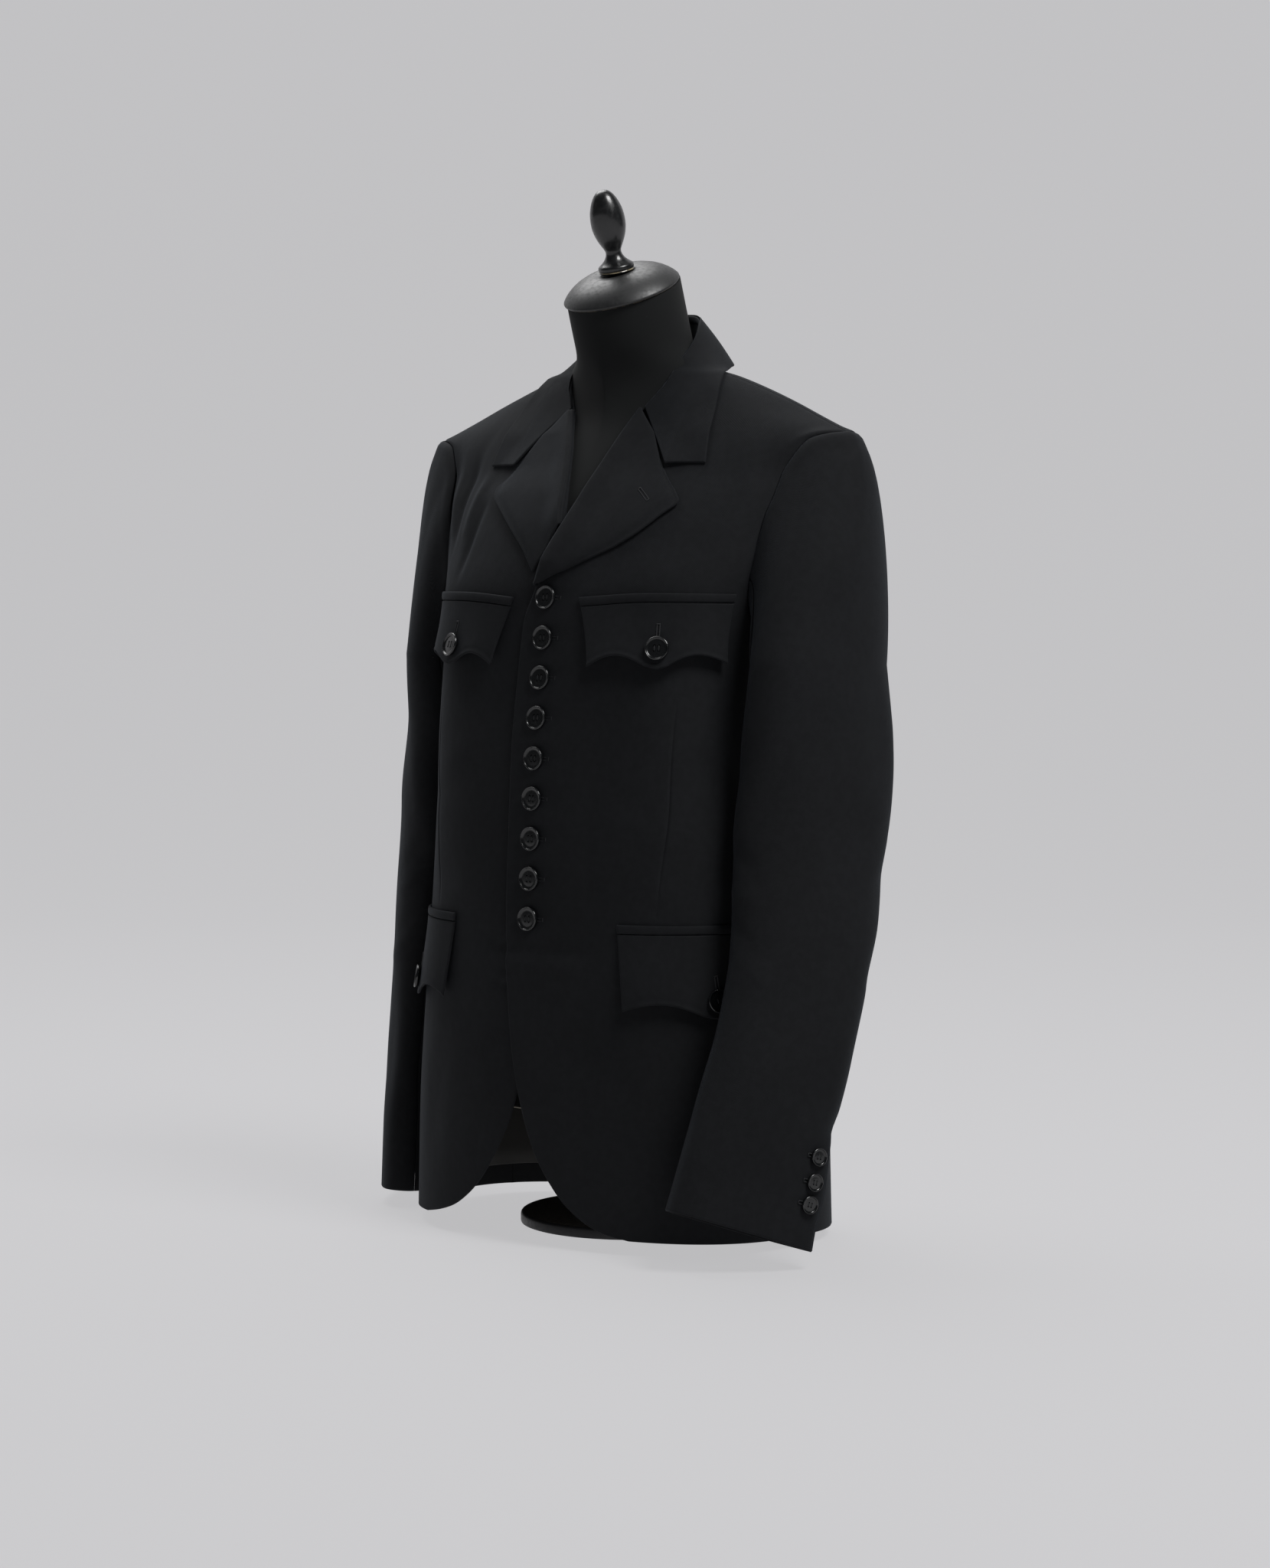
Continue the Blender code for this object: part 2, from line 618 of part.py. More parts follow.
def button(name, place, outward, radius, thickness=BUTTON_THICKNESS, sides=12):
    """A button lying with its back at place, facing outward."""
    profile = button_profile(radius, thickness)
    spin = Vector((0, 0, 1)).rotation_difference(outward).to_matrix()
    points = [place + spin @ Vector((0, 0, profile[0][1]))]
    for r, z in profile[1:-1]:
        for s in range(sides):
            turn = 2 * math.pi * s / sides
            points.append(place + spin @ Vector((r * math.cos(turn), r * math.sin(turn), z)))
    points.append(place + spin @ Vector((0, 0, profile[-1][1])))
    faces = []
    for s in range(sides):
        t = (s + 1) % sides
        faces.append((0, 1 + t, 1 + s))
        for k in range(len(profile) - 3):
            a = 1 + k * sides
            faces.append((a + s, a + t, a + sides + t, a + sides + s))
        last = 1 + (len(profile) - 3) * sides
        faces.append((last + s, last + t, len(points) - 1))
    link(name, closed_mesh(name, points, faces), horn())


def on_facets(grid, x, height):
    """The point of a grid's facets at this x and height, and the direction out of the facet."""
    for low, high in zip(grid, grid[1:]):
        for c in range(len(low) - 1):
            for corner, a, b in ((low[c], low[c + 1], high[c + 1]), (low[c], high[c + 1], high[c])):
                one = a[0] - corner[0]
                two = b[0] - corner[0]
                area = one.x * two.z - one.z * two.x
                dx = x * MM - corner[0].x
                dz = height * MM - corner[0].z
                u = (dx * two.z - dz * two.x) / area
                v = (one.x * dz - one.z * dx) / area
                if u >= -1e-6 and v >= -1e-6 and u + v <= 1.000001:
                    out = one.cross(two).normalized()
                    return corner[0] + one * u + two * v, out if out.dot(corner[1]) > 0 else -out
    return body_point(angle_at(x, height), height)


def front_buttons():
    """The column of buttons on the left front, at the centre line."""
    grid = front_grid(1)
    for i in range(FRONT_BUTTONS):
        middle, outward = on_facets(grid, 0.0, TOP_BUTTON - i * BUTTON_PITCH)
        place = middle + outward * (BODY_WALL / 2 + LAY_GAP + 0.2 * MM)
        button("button_front_%d" % (i + 1), place, outward, BUTTON_RADIUS)


def cuff_buttons(grid, label):
    """The buttons beside the vent, in the middle of a facet of the top sleeve."""
    column = BACK_SLEEVE_SEAM + 1
    low = (grid[-1][column][0] + grid[-1][column + 1][0]) / 2
    high = (grid[-2][column][0] + grid[-2][column + 1][0]) / 2
    across = grid[-1][column + 1][0] - grid[-1][column][0]
    up = (high - low).normalized()
    outward = across.cross(up).normalized()
    if outward.dot(grid[-1][column][1]) < 0:
        outward = -outward
    for i in range(CUFF_BUTTONS):
        rise = CUFF_BUTTON_RISE + i * CUFF_BUTTON_PITCH
        place = low + up * rise + outward * (SLEEVE_WALL / 2 + LAY_GAP)
        button("button_cuff_%s_%d" % (label, i + 1), place, outward, CUFF_BUTTON_RADIUS, 3.2 * MM, 10)


def table_at(columns, t):
    """Every column's smooth value at the share t of the table's length."""
    count = len(next(iter(columns.values())))
    places = [i / (count - 1) for i in range(count)]
    return {name: curve_value(places, values, t) for name, values in columns.items()}


def lapel(side, label, table):
    """The lapel, turned out along its fold and lying on the front."""
    columns = columns_of(table, LAPEL_COLUMNS)
    grid = []
    for r in range(LAPEL_ROWS):
        row = table_at(columns, r / (LAPEL_ROWS - 1))
        start = angle_at(row["fold_out"], row["fold_height"])
        end = angle_at(row["edge_out"], row["edge_height"])
        line = []
        for c in range(LAPEL_SPANS + 1):
            t = c / LAPEL_SPANS
            height = mix(row["fold_height"], row["edge_height"], t)
            point, outward = body_point(mix(start, end, t), height)
            lift = BODY_WALL / 2 + LAY_GAP + LAPEL_WALL / 2 + LAPEL_ROLL * math.sin(math.pi * min(t, 0.97)) ** 0.7
            if side > 0:
                lift += overlap_lift(point.x / MM, height)
            line.append((mirrored(point + outward * lift, side), mirrored(outward, side)))
        grid.append(line)
    wall("lapel_" + label, draw_in(grid, ("top",), 2 * SEAM_GAP), LAPEL_WALL, wool())


def collar_curves():
    """Fold, outer edge and neck seam of the whole collar, as functions of t from right to left."""
    columns = columns_of(COLLAR_ROWS, COLLAR_COLUMNS)

    def at(name, t):
        side = 1 if t >= 0 else -1
        row = table_at(columns, abs(t))
        return Vector((row[name + "_x"] * side, row[name + "_y"], row[name + "_z"])) * MM

    return at


def collar():
    """The fall over the shoulders, and the stand inside it."""
    at = collar_curves()
    fall = []
    stand = []
    notch = Vector(COLLAR_NOTCH) * MM
    for r in range(-COLLAR_HALF_ROWS, COLLAR_HALF_ROWS + 1):
        t = r / COLLAR_HALF_ROWS
        side = 1 if t >= 0 else -1
        fold = at("fold", t)
        edge = at("edge", t)
        line = []
        for c in range(COLLAR_SPANS + 1):
            u = c / COLLAR_SPANS
            point = fold.lerp(edge, u)
            if u < NOTCH_SHARE:
                bent = fold.lerp(mirrored(notch, side), u / NOTCH_SHARE)
            else:
                bent = mirrored(notch, side).lerp(edge, (u - NOTCH_SHARE) / (1 - NOTCH_SHARE))
            point = point.lerp(bent, ease((abs(t) - 0.8) / 0.2))
            line.append(point)
        fall.append(line)
        seam = at("seam", t * STAND_SHARE)
        fold = at("fold", t * STAND_SHARE)
        height = (fold - seam).length
        top = fold.lerp(seam, min(STAND_TRIM / height, 0.45))
        stand.append([seam.lerp(top, c / 2) for c in range(3)])
    laid = [[clear_of_body(point, COLLAR_LIFT) for point in line] for line in raised(fall)]
    wall("collar_fall", with_outward(laid, Vector((0, 0, 1))), COLLAR_WALL, wool())
    wall("collar_stand", with_outward(stand, Vector((0, 0, -1))), 1.6 * MM, wool())


def depth_out(point):
    """How far a point lies outside the body's rings, and the direction out, from the rings' growth."""

    def size(place):
        ring = body_ring(place.z / MM)
        y = place.y / MM - ring["centre"]
        front = y < 0
        power = ring["front_power"] if front else ring["back_power"]
        depth = ring["centre"] - ring["front"] if front else ring["back"] - ring["centre"]
        return (abs(place.x / MM / ring["half_width"]) ** power + abs(y / depth) ** power) ** (1 / power)

    step = 0.3 * MM
    here = size(point)
    growth = Vector([(size(point + axis) - size(point - axis)) / (2 * step)
                     for axis in (Vector((step, 0, 0)), Vector((0, step, 0)), Vector((0, 0, step)))])
    return (here - 1.0) / max(growth.length, 1e-6), growth.normalized()


def clear_of_body(point, lift):
    """Moves a point out until it lies this far above the body's cloth."""
    for _ in range(4):
        if point.z > NECK_TOP * MM:
            return point
        out, direction = depth_out(point)
        if out < lift:
            point = point + direction * (lift - out)
    return point


def raised(rows):
    """Gives the fall its roll: the middle of each row stands off, more towards the ends."""
    out = []
    middle = (len(rows) - 1) / 2
    for r, line in enumerate(rows):
        last = len(line) - 1
        height = mix(COLLAR_SWELL, COLLAR_END_SWELL, ease((abs(r - middle) / middle - 0.6) / 0.4))
        lifted = []
        for c, point in enumerate(line):
            away = Vector((point.x, point.y + 2 * MM, 0)).normalized()
            swell = math.sin(math.pi * min(c / last, 1.0)) * height
            lifted.append(point + (away * 0.5 + Vector((0, 0, 0.85))) * swell)
        out.append(lifted)
    return out


def with_outward(rows, hint):
    """Adds to each point of the grid the direction across the sheet, on the hint's side."""
    grid = []
    for r, line in enumerate(rows):
        cells = []
        for c, point in enumerate(line):
            along = rows[min(r + 1, len(rows) - 1)][c] - rows[max(r - 1, 0)][c]
            across = line[min(c + 1, len(line) - 1)] - line[max(c - 1, 0)]
            outward = along.cross(across).normalized()
            if outward.dot(hint) < 0:
                outward = -outward
            cells.append((point, outward))
        grid.append(cells)
    return grid


def arc_angles(start, height, lengths):
    """The angles that lie these distances along the ring from the start angle."""
    ring = body_ring(height)
    angles = []
    here = start
    gone = 0.0
    last = ring_point(ring, start, height)
    step = 0.25
    for length in lengths:
        while gone < length * MM - 1e-9:
            here += step
            point = ring_point(ring, here, height)
            gone += (point - last).length
            last = point
        angles.append(here)
    return angles


def flap_drop(shape, u, peak):
    """How far the flap's lower edge hangs down: a point at the peak, two arches and two corners."""
    t = (peak - u) / peak if u < peak else (u - peak) / (1 - peak)
    if t < 0.16:
        return mix(shape["point"], shape["point"] - 2.5, t / 0.16)
    if t < 0.58:
        return mix(shape["point"] - 2.5, shape["arch"], math.sin((t - 0.16) / 0.42 * math.pi / 2))
    return mix(shape["arch"], shape["corner"], 1 - math.cos((t - 0.58) / 0.42 * math.pi / 2))


def flap(side, label, kind):
    """A pocket's flap and the welt above it, on the outside of the front."""
    shape = FLAPS[kind]
    ground = BODY_WALL / 2 + LAY_GAP + FLAP_WALL / 2 + 0.1 * MM
    peak = shape[label + "_peak"]
    start = angle_at(shape["inner"], shape["top"])
    steps = [shape["width"] * c / FLAP_COLUMNS for c in range(FLAP_COLUMNS + 1)]
    top_angles = arc_angles(start, shape["top"], steps)
    low = shape["top"] - shape["corner"]
    grid = []
    for r in range(FLAP_SPANS + 1):
        v = r / FLAP_SPANS
        line = []
        for c in range(FLAP_COLUMNS + 1):
            u = c / FLAP_COLUMNS
            drop = WELT_DEPTH + 0.6 + (flap_drop(shape, u, peak) - WELT_DEPTH - 0.6) * v
            height = shape["top"] + shape["rise"] * math.sin(math.pi * min(u, 0.5)) - drop
            lean = mix(shape["inner_slant"], shape["outer_slant"], u) * drop / shape["corner"]
            here = body_point(top_angles[c], max(height, low))[0]
            turn = math.degrees(lean * MM / max(here.xy.length, 60 * MM))
            lift = ground + (shape["stand_off"] * MM) * v ** 1.5
            if side > 0:
                lift += overlap_lift(here.x / MM, height)
            point, outward = body_point(top_angles[c] + turn, height, lift)
            line.append((mirrored(point, side), mirrored(outward, side)))
        grid.append(line)
    wall("flap_%s_%s" % (kind, label), grid, FLAP_WALL, wool())
    welt(side, label, kind, shape, top_angles, ground)
    flap_button(label, kind, grid, shape)


def welt(side, label, kind, shape, angles, ground):
    """The narrow band from which the flap hangs."""
    grid = []
    for v in (0.0, 1.0):
        line = []
        for c, angle in enumerate(angles):
            u = c / FLAP_COLUMNS
            height = shape["top"] + shape["rise"] * math.sin(math.pi * min(u, 0.5)) - WELT_DEPTH * v
            lean = mix(shape["inner_slant"], shape["outer_slant"], u) * WELT_DEPTH * v / shape["corner"]
            here = body_point(angle, height)[0]
            turn = math.degrees(lean * MM / max(here.xy.length, 60 * MM))
            lift = ground
            if side > 0:
                lift += overlap_lift(here.x / MM, height)
            point, outward = body_point(angle + turn, height, lift)
            line.append((mirrored(point, side), mirrored(outward, side)))
        grid.append(line)
    wall("welt_%s_%s" % (kind, label), grid, FLAP_WALL, wool())


def flap_button(label, kind, grid, shape):
    """The button that fastens the flap, above its point."""
    place = shape[label + "_peak"] * FLAP_COLUMNS
    left = int(place)
    share = place - left
    bottom = grid[-1]
    low = bottom[left][0].lerp(bottom[left + 1][0], share)
    above = grid[-3][left][0].lerp(grid[-3][left + 1][0], share)
    outward = bottom[left][1]
    up = (above - low).normalized()
    across = (bottom[left + 1][0] - bottom[left][0]).normalized()
    facing = across.cross(up).normalized()
    if facing.dot(outward) < 0:
        facing = -facing
    place = low + up * shape["button_rise"] * MM + facing * (FLAP_WALL / 2 + LAY_GAP)
    button("button_%s_%s" % (kind, label), place, facing, BUTTON_RADIUS)


def lining(side, label):
    """The lining that shows inside the skirt, behind the opening of the fronts."""
    rows = (52.0, 90.0, 140.0, 200.0, 260.0)
    grid = []
    for height in rows:
        line = []
        for c in range(PANEL_COLUMNS + 1):
            angle = mix(179.85, 84.0, c / PANEL_COLUMNS)
            point, outward = body_point(angle, height, -(BODY_WALL / 2 + LAY_GAP + 0.7 * MM + LINING_WALL / 2))
            line.append((mirrored(point, side), mirrored(outward, side)))
        grid.append(line)
    wall("lining_" + label, draw_in(grid, ("first",)), LINING_WALL, material("lining_brown", LINING_BROWN, 0.4))


def loft(name, rings, finish):
    """A closed solid through rings of equal count, with flat ends."""
    count = len(rings[0])
    points = [point for ring in rings for point in ring]
    faces = []
    for r in range(len(rings) - 1):
        for s in range(count):
            t = (s + 1) % count
            faces.append((r * count + s, r * count + t, (r + 1) * count + t, (r + 1) * count + s))
    faces.append(tuple(range(count)))
    faces.append(tuple((len(rings) - 1) * count + s for s in range(count)))
    return link(name, closed_mesh(name, points, faces), finish)


def torso():
    """The covered form: chest, shoulders and neck in one smooth solid."""
    rings = []
    for height in FORM_HEIGHTS:
        ring = read_row(FORM, "height", height)
        tilt = math.radians(CAP_TILT) * max(0.0, height - NECK_LINE) / (FORM_HEIGHTS[-1] - NECK_LINE)
        centre = Vector((0, ring["centre"], height)) * MM
        turn = Matrix.Rotation(tilt, 3, "X")
        level = [ring_point(ring, 360.0 * s / FORM_SIDES, height) for s in range(FORM_SIDES)]
        rings.append([centre + turn @ (point - centre) for point in level])
    loft("form_torso", rings, material("form_cloth", FORM_BLACK, 0.9))


def turned(name, profile, place, lean, finish, sides):
    """A turned piece: profile rows are (radius, height) from the bottom up, leaned towards -Y."""
    angle = math.radians(lean)
    rings = []
    for radius, rise in profile:
        ring = []
        for s in range(sides):
            turn = 2 * math.pi * s / sides
            x = radius * math.cos(turn)
            y = radius * math.sin(turn)
            ring.append(Vector(place) + Vector((x, y * math.cos(angle) - rise * math.sin(angle),
                                                y * math.sin(angle) + rise * math.cos(angle))))
        rings.append(ring)
    return loft(name, rings, finish)


def form_top():
    """The wooden cap on the neck and the finial on it."""
    wood = material("wood_black", WOOD_BLACK, 0.3)
    cap_place = Vector(CAP_CENTRE) * MM
    cap = ((CAP_RADIUS * 0.97, -CAP_LIP), (CAP_RADIUS, 0.0), (CAP_RADIUS * 0.985, 2.5 * MM),
           (CAP_RADIUS * 0.86, 7.5 * MM), (CAP_RADIUS * 0.62, 12.0 * MM), (CAP_RADIUS * 0.36, 14.6 * MM),
           (CAP_RADIUS * 0.24, CAP_HEIGHT))
    turned("form_cap", cap, cap_place, CAP_TILT, wood, 28)
    tilt = math.radians(CAP_TILT)
    rise = CAP_HEIGHT + FINIAL_LIFT
    foot = cap_place + Vector((0, -rise * math.sin(tilt), rise * math.cos(tilt)))
    finial = ((7.0 * MM, 0.0), (7.0 * MM, 2.5 * MM), (15.0 * MM, 3.0 * MM), (15.2 * MM, 7.5 * MM),
              (9.0 * MM, 14.5 * MM), (6.6 * MM, 19.0 * MM), (7.6 * MM, 24.0 * MM), (12.0 * MM, 35.0 * MM),
              (15.6 * MM, 48.5 * MM), (13.6 * MM, 61.0 * MM), (8.5 * MM, 68.5 * MM), (2.0 * MM, 71.5 * MM))
    turned("form_finial", finial, foot, FINIAL_LEAN, wood, 16)


def stand():
    """The base on the floor and the pole up to the torso."""
    steel = material("stand_black", STEEL_BLACK, 0.45, 0.6)
    base = ((BASE_RADIUS - 1.5 * MM, 0.0), (BASE_RADIUS, 1.5 * MM), (BASE_RADIUS, BASE_THICKNESS - 3 * MM),
            (BASE_RADIUS - 3 * MM, BASE_THICKNESS))
    turned("form_base", base, (0, 0, FLOOR_LINE * MM), 0.0, steel, 40)
    low = FLOOR_LINE * MM + BASE_THICKNESS + SEAM_GAP
    pole = ((POLE_RADIUS, 0.0), (POLE_RADIUS, TORSO_BOTTOM * MM - SEAM_GAP - low))
    turned("form_pole", pole, (0, 0, low), 0.0, steel, 20)


def build():
    clear_scene()
    for side, label, lapel_table, sleeve_table in ((1, "left", LEFT_LAPEL, LEFT_SLEEVE),
                                                   (-1, "right", RIGHT_LAPEL, RIGHT_SLEEVE)):
        body_panels(side, label)
        lapel(side, label, lapel_table)
        sleeves(side, label, sleeve_table)
        lining(side, label)
        for kind in FLAPS:
            flap(side, label, kind)
    collar()
    front_buttons()
    torso()
    form_top()
    stand()


build()
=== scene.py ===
"""The looks of a black wool blazer with nine front buttons, standing on a limbless dress form.

Lengths in the tables are millimetres and angles are degrees. Heights in the tables are measured
from a line 26 mm below the floor. The front faces -Y and the wearer's left side is +X.
"""

import json
import logging
import math
from dataclasses import dataclass, field
from enum import Enum
from typing import Callable, Dict, List, Optional, Sequence, Tuple

import bmesh
import bpy
import numpy as np
from mathutils import Matrix, Vector

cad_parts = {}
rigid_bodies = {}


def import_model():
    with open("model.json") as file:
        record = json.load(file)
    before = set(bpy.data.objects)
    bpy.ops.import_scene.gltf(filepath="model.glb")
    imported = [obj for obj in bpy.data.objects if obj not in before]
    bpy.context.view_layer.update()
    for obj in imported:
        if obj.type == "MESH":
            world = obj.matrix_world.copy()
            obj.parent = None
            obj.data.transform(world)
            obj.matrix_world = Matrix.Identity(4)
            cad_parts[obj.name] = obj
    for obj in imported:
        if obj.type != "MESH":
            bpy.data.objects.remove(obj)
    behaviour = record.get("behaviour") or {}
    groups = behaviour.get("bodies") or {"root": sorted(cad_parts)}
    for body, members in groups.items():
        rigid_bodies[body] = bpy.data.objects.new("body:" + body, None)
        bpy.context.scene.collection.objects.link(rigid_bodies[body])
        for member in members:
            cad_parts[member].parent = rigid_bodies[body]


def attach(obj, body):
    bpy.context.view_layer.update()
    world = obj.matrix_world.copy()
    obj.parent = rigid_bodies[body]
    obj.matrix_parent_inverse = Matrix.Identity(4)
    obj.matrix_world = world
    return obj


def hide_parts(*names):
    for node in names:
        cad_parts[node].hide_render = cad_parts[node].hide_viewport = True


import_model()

LOG = logging.getLogger("blazer")
MM = 0.001
FLOOR_LINE = 26.0
SHOULDER_TIP = 693.0
SMOOTHINGS = 60
SHARP_EDGE = 38
BODY_WALL = 2.0 * MM
CLEAR = 0.35 * MM
LAPEL_WALL = 2.4 * MM
Array = np.ndarray
Places = Tuple[Array, Array]
Table = Tuple[Tuple[float, ...], ...]
Triple = Tuple[float, float, float]
Profile = Sequence[Tuple[float, float]]
Spot = Tuple[Vector, Vector, Vector]
Material, Mesh, Thing = bpy.types.Material, bpy.types.Mesh, bpy.types.Object
Node, Socket, Tree = bpy.types.Node, bpy.types.NodeSocket, bpy.types.NodeTree
Sockets = bpy.types.bpy_prop_collection

RING_COLUMNS = ("height", "half_width", "front", "back", "centre", "front_power", "back_power")
BODY_RINGS: Table = (
    (30, 185, -144, 112, 0, 2.6, 2.3),
    (130, 182, -143, 109, 0, 2.6, 2.3),
    (230, 173, -139, 97, 0, 2.7, 2.3),
    (330, 163, -133, 86, 0, 2.9, 2.4),
    (430, 152, -127, 92, 0, 3.4, 2.6),
    (500, 152, -118, 103, 2, 3.5, 2.8),
    (560, 162, -111, 110, 4, 3, 2.8),
    (600, 178, -99, 110, 5, 2.3, 2.7),
    (640, 202, -82, 104, 6, 1.75, 2.5),
    (670, 212, -64, 94, 6, 1.5, 2.3),
    (693, 214, -49, 82, 8, 1.5, 2.2),
    (715, 214, -34, 72, 13, 1.5, 2.1),
    (735, 214, -24, 66, 15, 1.6, 2),
    (749, 214, -17, 61, 13, 1.8, 2),
    (760, 214, -14, 59, 12, 1.9, 2),
)
RIDGE_COLUMNS = ("height", "half_width")
RIDGE: Table = ((693, 214), (705, 187), (718.5, 157), (731, 126), (741, 98), (750, 68),
                (757, 62))
FRONT_COLUMNS = ("inner_height", "left_inner", "right_inner", "outer_angle", "outer_height")
FRONT_ROWS: Table = (
    (38, 100, 125, 76, 35.5),
    (42, 80, 106, 76, 48.5),
    (49, 62, 84, 76, 63),
    (60.5, 46, 65, 76, 80),
    (76.5, 31, 48, 76.3, 98.5),
    (104, 12, 29, 76.6, 124),
    (134, 0, 14, 77, 154.5),
    (165, -9, 5, 77.4, 185),
    (200, -15.5, -4, 77.8, 215),
    (272, -23, -22, 78.5, 272),
    (330, -25, -25, 79, 330),
    (400, -25, -25, 80, 400),
    (465, -25, -25, 81, 465),
    (530, -23, -25, 82, 527),
    (565, -13.5, -22, 75, 548),
    (590, -4, -12, 69, 574),
    (614, 5, 1, 64, 602),
    (653, 17.5, 8.5, 60, 632),
    (689, 29, 25, 60, 656),
    (714, 37, 37, 62.5, 675),
    (735, 52, 52, 67, 688),
    (745, 60, 60, 77, 692),
    (749, 68, 68, 90, 693),
)
BACK_COLUMNS = ("inner_angle", "inner_height", "outer_angle", "outer_height")
BACK_ROWS: Table = (
    (180, 33.5, 112, 34.5),
    (180, 48, 112, 48),
    (180, 63, 112, 63),
    (180, 80, 112, 80),
    (180, 98.5, 111.8, 98.5),
    (180, 124, 111.5, 124),
    (180, 154.5, 111.2, 154.5),
    (180, 185, 111, 185),
    (180, 215, 110.6, 215),
    (180, 272, 110, 272),
    (180, 330, 109.4, 330),
    (180, 400, 108.6, 400),
    (180, 465, 107.6, 465),
    (180, 530, 106, 532),
    (180, 570, 111, 556),
    (180, 610, 115, 583),
    (180, 650, 117.5, 612),
    (180, 690, 118.5, 640),
    (180, 725, 117, 663),
    (180, 757, 112.5, 679),
    (150, 756, 106, 688),
    (120, 752.5, 98, 692),
    (90, 749, 90, 693),
)
UNDERARM: Table = ((82, 527), (88, 517.5), (94.5, 513.5), (100.5, 518.5), (106, 532))
SLEEVE_COLUMNS = ("height", "out", "forth", "half_long", "half_short", "turn")
LEFT_SLEEVE: Table = (
    (505, 202, -12.5, 66, 36, 13),
    (455, 204, -16, 66, 34, 24),
    (379, 206, -27, 64, 32, 35),
    (304, 210, -43, 60, 29, 36),
    (250, 214, -59, 57, 27, 37),
    (199, 214, -77, 56, 26, 38),
    (143, 211, -99, 56, 25, 40),
    (58, 203, -128, 57, 22.5, 41),
)
RIGHT_SLEEVE: Table = (
    (505, 200, 5, 65, 34, 13),
    (455, 202, 0, 65, 33, 24),
    (379, 204, -15, 64, 31, 35),
    (304, 214, -13, 61, 28, 31),
    (250, 221, -9, 59, 27, 28),
    (199, 224, -11, 58, 26, 28),
    (143, 226, -16, 57, 25, 28),
    (38, 228, -22, 58, 24, 29),
)
LAPEL_COLUMNS = ("fold_out", "fold_height", "edge_out", "edge_height")
LEFT_LAPEL: Table = (
    (-12.5, 567, -8, 569),
    (-4, 588, 19, 580),
    (3, 607, 47, 592.5),
    (11, 632, 74, 608.5),
    (17, 651, 92, 624.5),
    (20.5, 662, 102.5, 635),
    (24, 673, 97.5, 643),
    (30, 691, 88, 652.5),
    (37, 713, 78, 663),
)
RIGHT_LAPEL: Table = (
    (-1.5, 616, 19, 578),
    (1.5, 626, 37, 598),
    (5, 641, 57, 614.5),
    (10, 656, 76, 629),
    (15, 669, 91, 640.5),
    (19, 679, 92.5, 646.5),
    (28, 696, 86, 654.5),
    (37, 713, 78, 663),
)
COLLAR_COLUMNS = ("fold_x", "fold_y", "fold_z", "edge_x", "edge_y", "edge_z", "seam_x", "seam_y", "seam_z")
COLLAR_ROWS: Table = (
    (0, 57, 797, 0, 80, 752, 0, 60.5, 760),
    (26, 51, 796, 42, 72, 752, 31, 54, 760),
    (45, 35, 790, 71, 48, 752, 54, 36, 759),
    (54.5, 11, 769, 86, 18, 745, 61, 12, 755.5),
    (52.5, -14, 742, 101, -14, 718, 55.5, -12.5, 738),
    (38.8, -33, 716, 113, -46, 667.5, 39.3, -32, 714),
)
COLLAR_NOTCH = (78.3, -58, 664.5)
FORM_RINGS: Table = (
    (132, 162, -112, 88, -4, 2.4, 2.3),
    (230, 152, -110, 78, -4, 2.5, 2.3),
    (330, 140, -110, 70, -3, 2.7, 2.4),
    (430, 142, -112, 80, -2, 3, 2.5),
    (500, 145, -112, 94, 1, 3.1, 2.7),
    (560, 154, -106, 103, 3, 2.8, 2.7),
    (600, 168, -94, 104, 5, 2.2, 2.6),
    (640, 184, -77, 99, 6, 1.7, 2.4),
    (670, 194, -60, 89, 6, 1.45, 2.2),
    (693, 189, -46, 77, 7, 1.35, 2.1),
    (715, 152, -36, 66, 11, 1.02, 1.9),
    (731, 110, -37, 59, 11, 0.96, 1.75),
    (742, 70, -37, 56, 9, 1.02, 1.75),
    (754, 50.5, -42, 53.5, 6, 1.8, 1.95),
    (770, 49.5, -46.5, 52.5, 3, 2, 2),
    (790, 49, -53, 45.5, -3.5, 2, 2),
    (814.2, 49, -60.5, 37.5, -11.5, 2, 2),
)

